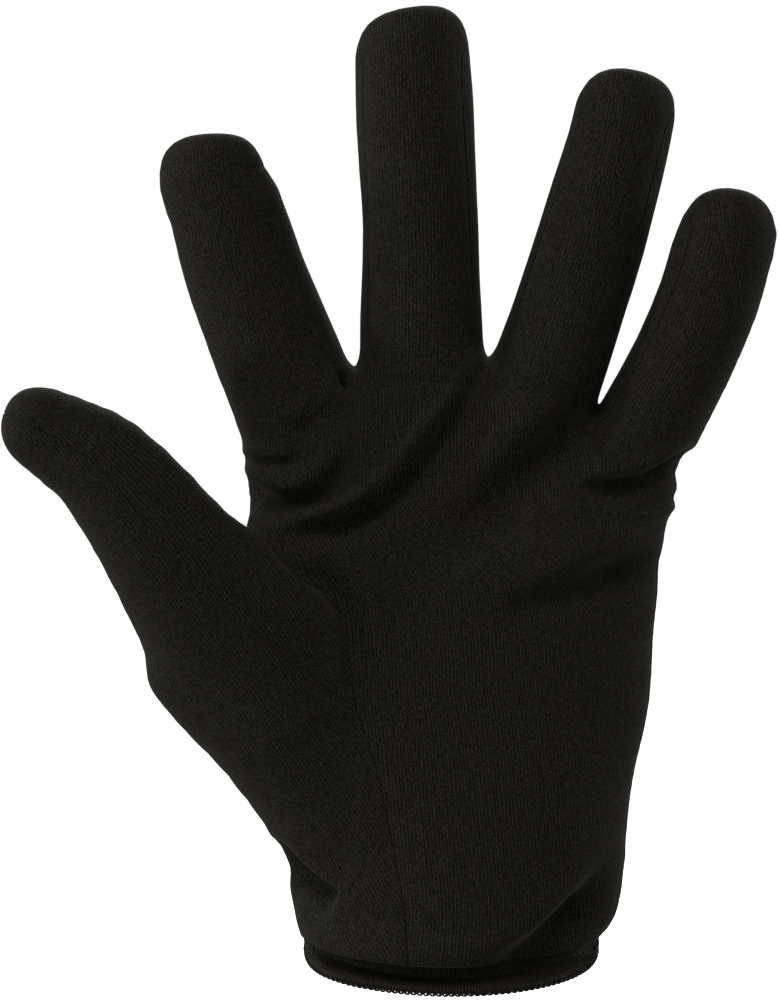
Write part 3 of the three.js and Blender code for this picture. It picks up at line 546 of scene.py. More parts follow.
# Thumb seam on the palm: from its apex in the thumb's crotch to the corner where the thumb's
# front seam starts, and on down to the hem
APEX = (-42.0, -6.0, 89.7)
APEX_ANCHOR = np.array((-35.5, -5.0, 79.0))
VEE_FRONT = np.array([
    APEX, (-37.0, -13.5, 86.2), (-28.9, -17.0, 80.6), (-23.4, -18.0, 74.9),
    (-20.8, -18.5, 64.9), (-19.6, -19.0, 53.3),
])
HEEL_FRONT = np.array([
    (-19.6, -19.0, 53.3), (-16.3, -20.0, 44.2), (-13.8, -21.0, 34.0),
    (-11.4, -22.0, 21.8), (-9.6, -22.0, 11.8),
])
HEM_TOP = 3.3
HEM_TILT = math.radians(12)
HEM_CORNER = {"front": -8.6, "back": -27.5}
FAN_END = 3.0 / 7.0
SIDE_FAN_END = 0.5
RAY_SPREAD = 0.5
CURVE_SAMPLES = 40
# Shares of the palm's left edge: up the heel, round the thumb, and up the index finger's side
HEEL_SHARE, VEE_SHARE, SIDE_SHARE = 10 / 21, 7 / 21, 4 / 21
PALM_LENGTH = 118.0
BODY_ROWS = round(PALM_LENGTH / GRID_STEP)


def body_middle(z):
    left, right, front, back, _ = body_section(z)
    return (left + right) / 2.0, (right - left) / 2.0, front, back


def around_rays(angle, z, tilt=0.0):
    """Rays out of the palm body, angle 0 to the front and negative on the thumb's side."""
    angle, z = np.broadcast_arrays(np.asarray(angle, float), np.asarray(z, float))
    shape = z.shape + (3,)
    angle, z = angle.ravel(), z.ravel()
    centre, half_width, front, back = body_middle(z)
    out = RAY_SPREAD * half_width * np.sin(angle)
    forward = -np.where(np.cos(angle) > 0, front, back) * np.cos(angle)
    origin = np.stack([centre + out, middle_plane(centre + out, z), z], axis=-1)
    aim = np.stack([out, forward, forward * math.tan(tilt)], axis=-1)
    return origin.reshape(shape), aim.reshape(shape)


def angle_at(x, z):
    centre, half_width, _, _ = body_middle(np.atleast_1d(z))
    return np.arcsin(np.clip((x - centre) / half_width, -1.0, 1.0))


HEM_ANGLES = {
    "front": angle_at(HEM_CORNER["front"], HEM_TOP)[0],
    "back": -math.pi - angle_at(HEM_CORNER["back"], HEM_TOP)[0],
    "outer": OUTER_SEAM_ANGLE,
}


def hem_points(angle):
    return surface(around_rays(angle, HEM_TOP, HEM_TILT))


def along_curve(rows, share):
    """Points on the smooth curve through the rows, at shares of its length."""
    places = np.linspace(0, len(rows) - 1, CURVE_SAMPLES * (len(rows) - 1) + 1)
    points = sample_rows(rows, places)
    length = np.concatenate([[0.0], np.cumsum(np.linalg.norm(np.diff(points, axis=0), axis=1))])
    return sample_rows(rows, np.interp(np.asarray(share) * length[-1], length, places))


def seam_rays(places):
    level = np.stack([places[:, 0], middle_plane(places[:, 0], places[:, 2]), places[:, 2]], axis=-1)
    return level, places - level


def vee_rays(rows, share):
    """Rays to the seam round the thumb. They fan out from an anchor below its crotch."""
    places = along_curve(rows, share)
    level, _ = seam_rays(places)
    origin = mix(APEX_ANCHOR, level, smoothstep(np.asarray(share), 0.0, FAN_END)[:, None])
    return origin, places - origin


def heel_points(rows, corner_angle, share):
    whole = np.vstack([rows, hem_points(np.array([corner_angle]))])
    return surface(seam_rays(along_curve(whole, share)))


APEX_RAY = vee_rays(VEE_FRONT, np.zeros(1))
APEX_POINT = surface(APEX_RAY)[0]


def left_edge(heel_rows, vee_rows, corner_angle, root, v):
    """Left edge of the palm or back from the hem up to the index finger's root."""
    points = np.empty((len(v), 3))
    heel = v <= HEEL_SHARE
    vee = ~heel & (v <= HEEL_SHARE + VEE_SHARE)
    side = ~heel & ~vee
    points[heel] = heel_points(heel_rows, corner_angle, 1.0 - v[heel] / HEEL_SHARE)
    points[vee] = surface(vee_rays(vee_rows, 1.0 - (v[vee] - HEEL_SHARE) / VEE_SHARE))
    t = (v[side] - HEEL_SHARE - VEE_SHARE) / SIDE_SHARE
    level = around_rays(-math.pi / 2, mix(APEX_POINT[2], root[2], t))
    start = tuple(np.broadcast_to(part, (len(t), 3)) for part in APEX_RAY)
    points[side] = surface(blend_rays(start, level, smoothstep(t, 0.0, SIDE_FAN_END)))
    points[-1] = root
    return points


EDGE_LEAN = {"from": 86.0, "to": 98.0, "share": 0.5, "power": 6}


def body_rays(places):
    """Rays from the middle of the palm body through places near its skin."""
    x, z = places[..., 0].ravel(), places[..., 2].ravel()
    centre, half_width, _, _ = body_middle(z)
    side = np.clip((x - centre) / half_width, -1.0, 1.0)
    past_thumb = np.where(x < centre, smoothstep(z, EDGE_LEAN["from"], EDGE_LEAN["to"]), 1.0)
    lean = EDGE_LEAN["share"] * past_thumb * np.abs(side) ** EDGE_LEAN["power"]
    from_x = mix(x, centre, lean)
    origin = np.stack([from_x, middle_plane(from_x, z), z], axis=-1).reshape(places.shape)
    return origin, places - origin


def body_grid(facing, strips, heel_rows, vee_rows):
    """Body of the palm or back: rows from hem to finger roots, columns from left to right."""
    top = np.concatenate([strip[0, (0 if i == 0 else 1):] for i, strip in enumerate(strips)])
    shares = [(i + STRIP_SHARES[(0 if i == 0 else 1):]) / len(strips) for i in range(len(strips))]
    u = np.concatenate(shares)
    v = np.linspace(0.0, 1.0, BODY_ROWS + 1)
    start = HEM_ANGLES["front" if facing < 0 else "back"]
    end = HEM_ANGLES["outer"] if facing < 0 else HEM_ANGLES["outer"] - 2 * math.pi
    bottom = hem_points(mix(start, end, u))
    left = left_edge(heel_rows, vee_rows, start, top[0], v)
    outer_z = mix(bottom[-1, 2], top[-1, 2], v)
    right = surface(around_rays(OUTER_SEAM_ANGLE, outer_z))
    right[0], right[-1], left[0] = bottom[-1], top[-1], bottom[0]
    uu, vv = u[None, :, None], v[:, None, None]
    corners = mix(mix(bottom[0], top[0], vv), mix(bottom[-1], top[-1], vv), uu)
    places = mix(bottom[None], top[None], vv) + mix(left[:, None], right[:, None], uu) - corners
    points = surface(body_rays(places))
    points[0], points[-1], points[:, 0], points[:, -1] = bottom, top, left, right
    return points


def arc(points, axis, anchor=0):
    """Length along the rows (axis 1) or columns (axis 0) of a grid from an anchor line."""
    steps = np.linalg.norm(np.diff(points, axis=axis), axis=-1)
    start = np.zeros(steps.shape[:axis] + (1,) + steps.shape[axis + 1:])
    length = np.concatenate([start, np.cumsum(steps, axis=axis)], axis=axis)
    return length - np.take(length, [anchor], axis=axis)


def panel_grids(body, strips):
    """The body and strips with the cloth's own coordinates in millimetres: across the wales
    from the middle finger's centre, and up along them from the hem."""
    columns = len(STRIP_SHARES) - 1
    centre = columns + columns // 2
    across = arc(body, 1, centre)
    up = body[..., 2]
    grids = [(body, np.stack([across, up], axis=-1))]
    for number, strip in enumerate(strips):
        middle = columns // 2
        first = number * columns
        start = across[-1, first + middle]
        own = start + arc(strip, 1, middle)
        rise = up[-1, first:first + columns + 1][None, :] + arc(strip, 0)
        grids.append((strip, np.stack([own, rise], axis=-1)))
    return grids


# Cloth: thickness, radius of a seam's rolled edge, how far two edges press into each other, and
# the shallow dip and little puckers that the stitching pulls into the cloth beside it
CLOTH = {"thickness": 0.6, "roll": 0.34, "press": 0.05}
SEAM_DIP = {"depth": 0.2, "width": 2.2}
SEAM_PUCKER = {"height": 0.025, "peak": 1.3, "spacing": 3.1, "second": 4.7, "second_share": 0.6}
PUCKER_WAY = np.array((1.0, 0.35, 1.0))

# Folds: path seen from the front as x, z pairs, half width, depth of the valley at its start and
# at its end, height of the ridge on the left of the way along it, and how far round the side it
# runs on
FOLDS = (
    # Below the index finger, deepest at the outline, with two light creases above it
    (((-50.0, 104.0), (-41.5, 97.0), (-33.6, 94.8), (-26.0, 98.4), (-19.0, 107.5)), 2.1, 6.2, 1.2, 1.5, 0.4),
    (((-46.0, 104.5), (-38.2, 103.0), (-30.5, 104.2)), 1.2, 1.5, 0.8, 0.4, 0.3),
    (((-34.6, 108.6), (-27.3, 112.4), (-21.0, 117.0)), 2.2, 1.2, 1.2, 0.5, 0.0),
    # From the thumb's side up to the crotch between middle and ring finger
    (((-41.5, 88.4), (-29.5, 89.3), (-20.5, 91.6), (-11.8, 97.4), (-4.6, 106.0), (3.4, 116.5),
      (8.4, 127.0)), 2.1, 4.8, 2.6, 1.6, 0.0),
    # The wide valley up to the crotch of the little finger
    (((-10.0, 82.0), (6.0, 92.0), (12.5, 98.4), (18.5, 104.6), (25.0, 110.0), (31.6, 119.0)), 4.6, 1.2, 7.8,
     1.3, 0.0),
    # Below the little finger, and a crease on each side of it
    (((26.0, 97.4), (32.6, 98.6), (39.9, 99.6), (45.5, 101.6), (52.5, 106.4)), 1.9, 4.0, 6.6, 1.4, 0.6),
    (((29.8, 114.0), (33.2, 107.3), (42.0, 104.6)), 1.5, 2.2, 0.5, 0.5, 0.0),
    (((49.5, 97.0), (42.0, 94.4), (37.7, 92.4), (32.0, 88.0)), 1.1, 1.8, 1.0, 1.1, 0.6),
    # The broad light ridge across the palm, and the fold below it
    (((-12.0, 73.5), (10.0, 82.4), (22.0, 84.8), (32.6, 88.8), (42.8, 93.4)), 4.2, -1.0, -2.2, 0.0, 0.3),
    (((2.7, 70.0), (18.0, 75.0), (27.0, 78.6), (34.0, 81.2), (46.6, 84.4)), 3.0, 0.8, 5.2, 1.1, 0.5),
    # Two folds above the hem: on the heel, and on the little finger's side
    (((-38.6, 24.4), (-32.1, 18.0), (-28.4, 15.2), (-23.2, 13.2)), 2.3, 8.6, 8.0, 1.2, 0.15),
    (((2.0, -1.6), (11.8, 1.5), (18.0, 4.4), (23.3, 8.0), (27.7, 12.6), (34.6, 22.5)), 3.0, 5.8, 7.0, 0.7,
     0.3),
    # Beside the thumb's seam
    (((-19.4, 53.0), (-20.4, 66.8), (-23.2, 74.6), (-28.4, 80.6), (-38.0, 87.0)), 1.9, 1.8, 3.6, 0.5, 0.0),
    # Faint creases at the base of the middle and ring fingers
    (((-18.0, 120.6), (-4.0, 120.2), (10.0, 119.4)), 0.9, 0.5, 0.5, 0.2, 0.0),
    (((8.0, 119.6), (18.0, 118.6), (32.0, 119.2)), 0.9, 0.5, 0.5, 0.2, 0.0),
    # The small pit at the index finger's crotch and the ridge of stitches beside it
    (((-21.9, 122.6), (-21.2, 118.8)), 0.9, 3.4, 3.4, 0.2, 0.0),
    (((-24.8, 120.6), (-23.0, 117.6), (-20.0, 116.4)), 0.45, -0.4, -0.4, 0.0, 0.0),
)
FOLD_STEPS = 20
RIDGE = {"offset": 1.4, "width": 1.0}
# The side away from the ridge is this much wider; each end tapers over this share of the fold
FOLD_SOFT = 1.5
FOLD_TAPER = 0.28
FOLD_FACING = {"from": 0.05, "to": 0.45}
FOLD_ABOVE_HEM = {"from": -1.0, "to": 3.0}
# The hem is tighter than the cloth, which puffs out above it and turns in under
HEM_TUCK = {"depth": 6.8, "height": 2.6, "lift": 1.7, "puff": 0.9, "puff_middle": 5.5, "puff_width": 3.4,
            "side": 0.45}
# Slow unevenness of the stretched cloth: direction and length of each wave, and its height
WAVES = (
    ((0.9, 0.3, 0.4), 23.0, 0.08),
    ((-0.5, 0.6, 0.8), 17.0, 0.05),
    ((0.3, -0.8, 0.6), 31.0, 0.10),
    ((0.7, 0.5, -0.9), 11.0, 0.02),
)


def above_hem(points):
    return points[:, 2] - HEM_TOP - points[:, 1] * math.tan(HEM_TILT)


def fold_height(points, normals):
    """How far the folds and the cloth's unevenness move each point along its normal."""
    x, _, z = points.T
    height = np.zeros(len(points))
    for path, width, first_depth, last_depth, ridge, wrap in FOLDS:
        line = sample_rows(np.array(path), np.linspace(0, len(path) - 1, FOLD_STEPS + 1))
        nearest = np.full(len(points), 1e9)
        signed = np.zeros(len(points))
        share = np.zeros(len(points))
        for i, (a, b) in enumerate(zip(line[:-1], line[1:])):
            dx, dz = b - a
            t = np.clip(((x - a[0]) * dx + (z - a[1]) * dz) / (dx * dx + dz * dz), 0.0, 1.0)
            ox, oz = x - a[0] - t * dx, z - a[1] - t * dz
            distance = np.hypot(ox, oz)
            closer = distance < nearest
            nearest = np.where(closer, distance, nearest)
            signed = np.where(closer, np.where(dx * oz - dz * ox < 0, -distance, distance), signed)
            share = np.where(closer, (i + t) / FOLD_STEPS, share)
        taper = smoothstep(share, 0.0, FOLD_TAPER) * (1.0 - smoothstep(share, 1.0 - FOLD_TAPER, 1.0))
        depth = mix(first_depth, last_depth, share)
        across = signed / np.where(signed < 0, FOLD_SOFT * width, width)
        valley = np.exp(-(across ** 2))
        crest = np.exp(-(((signed / width - RIDGE["offset"]) / RIDGE["width"]) ** 2))
        facing = smoothstep(-normals[:, 1], FOLD_FACING["from"] - wrap, FOLD_FACING["to"] - wrap)
        height += facing * taper * (ridge * crest - depth * valley)
    for direction, length, amount in WAVES:
        phase = points @ unit(np.array(direction)) * (2 * math.pi / length)
        height += amount * np.sin(phase)
    level = above_hem(points)
    tuck = (1.0 - smoothstep(level, 0.0, HEM_TUCK["height"])) * HEM_TUCK["depth"]
    puff = HEM_TUCK["puff"] * np.exp(-((level - HEM_TUCK["puff_middle"]) / HEM_TUCK["puff_width"]) ** 2)
    fold_share = smoothstep(level, FOLD_ABOVE_HEM["from"], FOLD_ABOVE_HEM["to"])
    return height * fold_share + (puff - tuck) * mix(HEM_TUCK["side"], 1.0, np.abs(normals[:, 1]))


def weld(grids):
    """One set of points, cloth coordinates and faces from grids that share rows."""
    points = np.concatenate([points.reshape(-1, 3) for points, _ in grids])
    coordinates = np.concatenate([cloth.reshape(-1, 2) for _, cloth in grids])
    _, first, index = np.unique(np.round(points, 4), axis=0, return_index=True, return_inverse=True)
    index = index.ravel()
    faces = []
    start = 0
    for grid, _ in grids:
        rows, columns = grid.shape[:2]
        numbers = index[start:start + rows * columns].reshape(rows, columns)
        start += rows * columns
        corners = (numbers[:-1, :-1], numbers[:-1, 1:], numbers[1:, 1:], numbers[1:, :-1])
        faces.append(np.stack(corners, axis=-1).reshape(-1, 4))
    return points[first], coordinates[first], np.concatenate(faces)


def rim_edges(faces):
    """Directed edges that only one face has."""
    edges = np.concatenate([faces[:, [i, (i + 1) % 4]] for i in range(4)])
    edges = edges[edges[:, 0] != edges[:, 1]]
    count = edges.max() + 1
    keys = np.minimum(edges[:, 0], edges[:, 1]) * count + np.maximum(edges[:, 0], edges[:, 1])
    _, first, times = np.unique(keys, return_index=True, return_counts=True)
    return edges[first[times == 1]]


RIM_PARTS = 6


def rim_distance(points, rim):
    """Distance of each point from the panel's edge, and the place along that edge."""
    ends = points[rim]
    shares = np.arange(RIM_PARTS) / RIM_PARTS
    places = mix(ends[:, 0][:, None], ends[:, 1][:, None], shares[None, :, None]).reshape(-1, 3)
    tree = KDTree(len(places))
    for i, place in enumerate(places):
        tree.insert(place, i)
    tree.balance()
    found = [tree.find(point) for point in points]
    return np.array([f[2] for f in found]), places[[f[1] for f in found]]


def cloth_mesh(name, points, coordinates, faces):
    """Mesh object from points in millimetres, with the cloth's coordinates as its UV map."""
    mesh = bpy.data.meshes.new(name)
    polygons = []
    for face in faces.tolist():
        kept = [a for i, a in enumerate(face) if a != face[i - 1]]
        if len(kept) > 2:
            polygons.append(kept)
    mesh.from_pydata((points * MM).tolist(), [], polygons)
    layer = mesh.uv_layers.new(name="knit")
    corners = np.empty(len(mesh.loops), dtype=np.int32)
    mesh.loops.foreach_get("vertex_index", corners)
    layer.data.foreach_set("uv", coordinates[corners].astype(np.float32).ravel())
    mesh.polygons.foreach_set("use_smooth", np.ones(len(mesh.polygons), dtype=bool))
    mesh.update()
    made = bpy.data.objects.new(name, mesh)
    bpy.context.scene.collection.objects.link(made)
    return made


def cloth_panel(name, grids, outward=1):
    """A panel of cloth: outer face, inner face and cut edge, with folds, dipped and puckered
    seams, and its edge rolled in at the seam."""
    points, coordinates, faces = weld(grids)
    if outward < 0:
        faces = faces[:, ::-1]
    normals = form_normal(points)
    rim = rim_edges(faces)
    distance, nearest = rim_distance(points, rim)
    height = fold_height(points, normals)
    height -= SEAM_DIP["depth"] * np.exp(-(distance / SEAM_DIP["width"]) ** 2)
    phase = nearest @ PUCKER_WAY * 2 * math.pi
    second = SEAM_PUCKER["second_share"] * np.sin(phase / SEAM_PUCKER["second"])
    pucker = np.sin(phase / SEAM_PUCKER["spacing"]) + second
    reach = distance / SEAM_PUCKER["peak"]
    height += SEAM_PUCKER["height"] * pucker * reach * np.exp(1.0 - reach)
    depth = np.clip(CLOTH["roll"] - distance, 0.0, CLOTH["roll"])
    roll = CLOTH["roll"] - np.sqrt(CLOTH["roll"] ** 2 - depth ** 2)
    place = points.copy()
    following = dict(rim.tolist())
    leading = {b: a for a, b in following.items()}
    numbers = np.array(sorted(following))
    along = points[[following[i] for i in numbers]] - points[[leading[i] for i in numbers]]
    place[numbers] -= unit(np.cross(normals[numbers], along)) * CLOTH["press"]
    turned_in = 1.0 - smoothstep(above_hem(points), 0.0, HEM_TUCK["height"])
    place[:, 2] += HEM_TUCK["lift"] * turned_in ** 2
    outer = place + normals * (height - roll)[:, None]
    inner = place + normals * (height - CLOTH["thickness"])[:, None]
    count = len(points)
    wall = np.stack([rim[:, 1], rim[:, 0], rim[:, 0] + count, rim[:, 1] + count], axis=-1)
    every = np.concatenate([faces, faces[:, ::-1] + count, wall])
    return cloth_mesh(name, np.concatenate([outer, inner]), np.concatenate([coordinates] * 2), every)


# Stretch jersey of black microfibre nylon and elastane, matt, knitted at about 13 wales to the
# centimetre: fine ribs with V shaped stitches, a soft bloom where it turns from the eye
JERSEY_COLOUR = "#2b2922"
JERSEY_PAINTED_SHADE = "#0b0a09"
JERSEY_BLOOM = "#8d8779"
# Millimetres across a wale, up a course and of relief, then the courses that a stitch rises
# over half a wale
WALE = 0.76
COURSE = 0.56
STITCH_HEIGHT = 0.12
STITCH_SLANT = 0.9
# Single fibres are too fine to show, so their specks and fuzz are drawn about 0.3 mm across, in the relief
# and in the colour as painted glints
FIBRE_SPECK = 0.3
FIBRE_SCALE = 3.4
# What each part adds to the height of the knit, and the heights painted darkest and lightest
KNIT_HEIGHT = {"rib": 0.11, "stitch": 0.09, "fibre": 0.9, "speck": 0.4}
KNIT_PAINTED_SHADES = {"dark": 0.40, "light": 1.04}

jersey, tree = new_material("nylon_elastane_jersey")
uv = add_node(tree, "ShaderNodeUVMap", {"uv_map": "knit"})
split = add_node(tree, "ShaderNodeSeparateXYZ", Vector=uv)
wales = add_node(tree, "ShaderNodeMath", {"operation": "MULTIPLY"}, i0=split.outputs[0], i1=1.0 / WALE)
courses = add_node(tree, "ShaderNodeMath", {"operation": "MULTIPLY"}, i0=split.outputs[1], i1=1.0 / COURSE)
within = add_node(tree, "ShaderNodeMath", {"operation": "FRACT"}, i0=wales)
off_middle = add_node(tree, "ShaderNodeMath", {"operation": "SUBTRACT"}, i0=within, i1=0.5)
beside = add_node(tree, "ShaderNodeMath", {"operation": "ABSOLUTE"}, i0=off_middle)
rib_turn = add_node(tree, "ShaderNodeMath", {"operation": "MULTIPLY"}, i0=beside, i1=2 * math.pi)
rib = add_node(tree, "ShaderNodeMath", {"operation": "COSINE"}, i0=rib_turn)
slanted = add_node(tree, "ShaderNodeMath", {"operation": "MULTIPLY_ADD"}, i0=beside, i1=2 * STITCH_SLANT,
                   i2=courses)
stitch_turn = add_node(tree, "ShaderNodeMath", {"operation": "MULTIPLY"}, i0=slanted, i1=2 * math.pi)
stitch = add_node(tree, "ShaderNodeMath", {"operation": "COSINE"}, i0=stitch_turn)
fibre = add_node(tree, "ShaderNodeTexNoise", Scale=FIBRE_SCALE, Detail=4.0, Roughness=0.7, Vector=uv)
speck = add_node(tree, "ShaderNodeVectorMath", {"operation": "SNAP"}, i0=uv,
                 i1=(FIBRE_SPECK, FIBRE_SPECK, 1.0))
uneven = add_node(tree, "ShaderNodeTexWhiteNoise", {"noise_dimensions": "2D"}, Vector=speck)
knit_parts = {"rib": rib, "stitch": stitch, "fibre": fibre.outputs["Fac"], "speck": uneven.outputs["Value"]}
height = 0.0
for name, part in knit_parts.items():
    height = add_node(tree, "ShaderNodeMath", {"operation": "MULTIPLY_ADD"}, i0=part, i1=KNIT_HEIGHT[name],
                      i2=height)
bump = add_node(tree, "ShaderNodeBump", Strength=0.8, Distance=STITCH_HEIGHT * MM, Height=height)
painted_shading = add_node(tree, "ShaderNodeMapRange", Value=height, From_Min=KNIT_PAINTED_SHADES["dark"],
                     From_Max=KNIT_PAINTED_SHADES["light"])
# Painted shade and highlight: the colour darkens in the knit's grooves and lightens on its tops and fibre
# specks, as light falls on them
tint = add_node(tree, "ShaderNodeMix", {"data_type": "RGBA"}, Factor=painted_shading.outputs["Result"],
                i6=linear(JERSEY_PAINTED_SHADE), i7=linear(JERSEY_COLOUR))
knit = add_node(tree, "ShaderNodeBsdfPrincipled", Base_Color=tint.outputs[2], Roughness=0.9, Normal=bump,
                Sheen_Weight=0.16, Sheen_Roughness=0.35, Sheen_Tint=linear(JERSEY_BLOOM),
                Specular_IOR_Level=0.06)
add_node(tree, "ShaderNodeOutputMaterial", Surface=knit)


def finish_cloth(made, node):
    made.data.materials.append(jersey)
    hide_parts(node)
    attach(made, "root")


palm_body = body_grid(-1, PALM_STRIPS, HEEL_FRONT, VEE_FRONT)
palm = cloth_panel("palm_cloth", panel_grids(palm_body, PALM_STRIPS))
finish_cloth(palm, "palm")

# Back panel: the back of the glove with that of all four fingers, cut in one piece like the palm
# and sewn to it down both sides and over the fingertips. Its stretch keeps it smooth.
VEE_BACK = np.array([APEX, (-41.5, 2.0, 86.0), (-42.0, 6.0, 80.0), (-43.0, 8.0, 73.0)])
HEEL_BACK = np.array([
    (-43.0, 8.0, 73.0), (-45.5, 8.0, 62.0), (-45.5, 9.0, 52.0), (-41.0, 11.0, 41.0),
    (-33.5, 14.0, 28.0), (-28.8, 14.0, 14.0),
])

back_strips = [strip_grid(number, 1) for number in range(len(FINGERS))]
back_body = body_grid(1, back_strips, HEEL_BACK, VEE_BACK)
back = cloth_panel("back_cloth", panel_grids(back_body, back_strips), outward=-1)
finish_cloth(back, "back")

# Upper half of the thumb: a narrow piece of the same jersey, set into the palm and back with a
# V at the thumb's crotch.
THUMB_ROOT_END = 6.0
THUMB_CAP_LENGTH = 12.0
VEE_LENGTH = 90.0


def thumb_stations():
    along = np.linspace(0.0, TUBE_END["thumb"], round(THUMB.lengths[-1] / GRID_STEP) + 1)
    cap = TUBE_END["thumb"] + CAP_STATIONS * seam_spacing(THUMB_CAP_LENGTH, start=False)
    return np.concatenate([along, cap[1:]])


def thumb_points(base, angle, station):
    """Points round the thumb, whose rays grow out of the rays of a base line."""
    rays = limb_rays(THUMB, station, angle)
    start = tuple(np.broadcast_to(part[None], rays[0].shape) for part in base)
    grown = np.broadcast_to(np.clip(station / THUMB_ROOT_END, 0.0, 1.0), angle.shape)
    return surface(blend_rays(start, rays, grown))


vee_share = seam_spacing(VEE_LENGTH)
front_half = vee_share[vee_share <= 0.5]
front_rays = vee_rays(VEE_FRONT, 1.0 - 2.0 * front_half)
back_half = vee_share[vee_share > 0.5]
back_rays = vee_rays(VEE_BACK, 2.0 * back_half - 1.0)
inner_base = tuple(np.concatenate(pair) for pair in zip(front_rays, back_rays))
station = thumb_stations()[:, None]
angle = np.broadcast_to(math.pi * vee_share[None, :], (len(station), len(vee_share)))
inner_points = thumb_points(inner_base, angle, np.broadcast_to(station, angle.shape))
THUMB_WALE = unit(np.array((0.57, 0.1, -0.81)))
FIT_STEPS = 700


def steps_of(values):
    return values[:, 1:] - values[:, :-1], values[1:] - values[:-1]


def gather(right, up):
    """Sum of the steps that end at each point less those that start there."""
    total = np.zeros((right.shape[0], up.shape[1]))
    total[:, 1:] += right
    total[:, :-1] -= right
    total[1:] += up
    total[:-1] -= up
    return total


def thumb_cloth(points):
    """The cloth's coordinates with its wales along the thumb everywhere: the closest flat
    lay-out of the panel, found by conjugate gradients."""
    normals = form_normal(points.reshape(-1, 3)).reshape(points.shape)
    along = THUMB_WALE - normals * (normals @ THUMB_WALE)[..., None]
    along = along / np.maximum(np.linalg.norm(along, axis=-1, keepdims=True), 0.05)
    laid_out = []
    for slope in (np.cross(along, normals), along):
        wanted = [((a[0] + a[1]) / 2.0 * b).sum(axis=-1) for a, b in (
            ((slope[:, 1:], slope[:, :-1]), points[:, 1:] - points[:, :-1]),
            ((slope[1:], slope[:-1]), points[1:] - points[:-1]))]
        value = np.zeros(points.shape[:2])
        rest = gather(*wanted)
        way = rest
        for _ in range(FIT_STEPS):
            spread = gather(*steps_of(way))
            size = (rest * rest).sum()
            step = size / max((way * spread).sum(), 1e-12)
            value = value + step * way
            rest = rest - step * spread
            way = rest + way * ((rest * rest).sum() / max(size, 1e-12))
        laid_out.append(value)
    return np.stack(laid_out, axis=-1)


thumb_inner = cloth_panel("thumb_inner_cloth", [(inner_points, thumb_cloth(inner_points))])
finish_cloth(thumb_inner, "thumb_inner")

# Outer half of the thumb: it runs on down as the heel of the glove to the wrist. Its wales
# follow the thumb, so they meet the palm's at a slant along the seam.
HEEL_DIP = 16.0
HEEL_LENGTH = 60.0
HEEL_ROWS = round(HEEL_LENGTH / GRID_STEP)
OUTER_WIDTH = 62.0
SETTLE_STEPS = 2
EDGE_POWER = 8


def settle(points):
    """Moves points that lie close to the form onto it."""
    shape = points.shape
    points = points.reshape(-1, 3)
    for _ in range(SETTLE_STEPS):
        slope = form_rise(points) / (2 * NORMAL_STEP)
        points = points - slope * (form(points) / (slope ** 2).sum(axis=1))[:, None]
    return points.reshape(shape)


def draw_columns(points, left, right, share):
    """Draws a grid's columns to its given edge lines, most of all the columns beside them."""
    near_left = ((1.0 - share) ** EDGE_POWER)[None, :, None]
    near_right = (share ** EDGE_POWER)[None, :, None]
    drawn = points + near_left * (left - points[:, 0])[:, None]
    return drawn + near_right * (right - points[:, -1])[:, None]


def heel_rays(row, share):
    """Rays round the thumb's side of the body; row 0 is the thumb's base, 1 the hem."""
    front = heel_points(HEEL_FRONT, HEM_ANGLES["front"], row)
    back = heel_points(HEEL_BACK, HEM_ANGLES["back"], row)
    start = angle_at(front[:, 0], front[:, 2])[:, None]
    end = -math.pi - angle_at(back[:, 0], back[:, 2])[:, None]
    dip = HEEL_DIP * np.sin(math.pi * share) * (1.0 - row)[:, None]
    rays = around_rays(mix(start, end, share), mix(front[:, 2:3], back[:, 2:3], share) - dip)
    return rays, front, back


outer_share = seam_spacing(OUTER_WIDTH)[None, :]
(base_origin, base_aim), base_front, base_back = heel_rays(np.zeros(1), outer_share)
base_origin, base_aim = base_origin[0].copy(), unit(base_aim[0])
for column, seam in ((0, base_front), (-1, base_back)):
    level, aim = seam_rays(seam)
    base_origin[column], base_aim[column] = level[0], unit(aim[0])
station = thumb_stations()[::-1, None]
angle = np.broadcast_to(-math.pi * outer_share, (len(station), outer_share.shape[1]))
tube_points = thumb_points((base_origin, base_aim), angle, np.broadcast_to(station, angle.shape))
row = np.linspace(0.0, 1.0, HEEL_ROWS + 1)[1:]
(heel_origin, heel_aim), heel_front, heel_back = heel_rays(row, outer_share)
heel_grid = surface((heel_origin, heel_aim))
heel_hem = hem_points(mix(HEM_ANGLES["front"], HEM_ANGLES["back"], outer_share[0]))
heel_grid = draw_columns(heel_grid, heel_front, heel_back, outer_share[0])
heel_grid = draw_columns(heel_grid.swapaxes(0, 1), heel_grid[0], heel_hem, row).swapaxes(0, 1)
heel_grid = settle(heel_grid)
heel_grid[:, 0], heel_grid[:, -1], heel_grid[-1] = heel_front, heel_back, heel_hem
outer_points = np.concatenate([tube_points, heel_grid])
thumb_outer = cloth_panel("thumb_outer_cloth", [(outer_points, thumb_cloth(outer_points))])
finish_cloth(thumb_outer, "thumb_outer")

# Fourchettes: long narrow strips of the jersey that wall the sides of neighbouring fingers and
# run through the crotch between them, pointed at each fingertip.
GUSSET_WIDTH = 15.0
GUSSET_POINT_FROM = FINGER_END - 0.45
gusset_share = seam_spacing(GUSSET_WIDTH)


def fourchette_grid(number):
    sides = []
    for finger, side in ((number, 1), (number + 1, -1)):
        station = finger_stations(finger, tip_seam=False)
        station = np.append(station[station < GUSSET_POINT_FROM], FINGER_END)
        share, at = np.meshgrid(gusset_share, station)
        points = surface(side_rays(finger, side, share, at))
        points[-1] = points[-1, :1]
        sides.append(points)
    return np.concatenate([sides[0][::-1], sides[1][1:]])


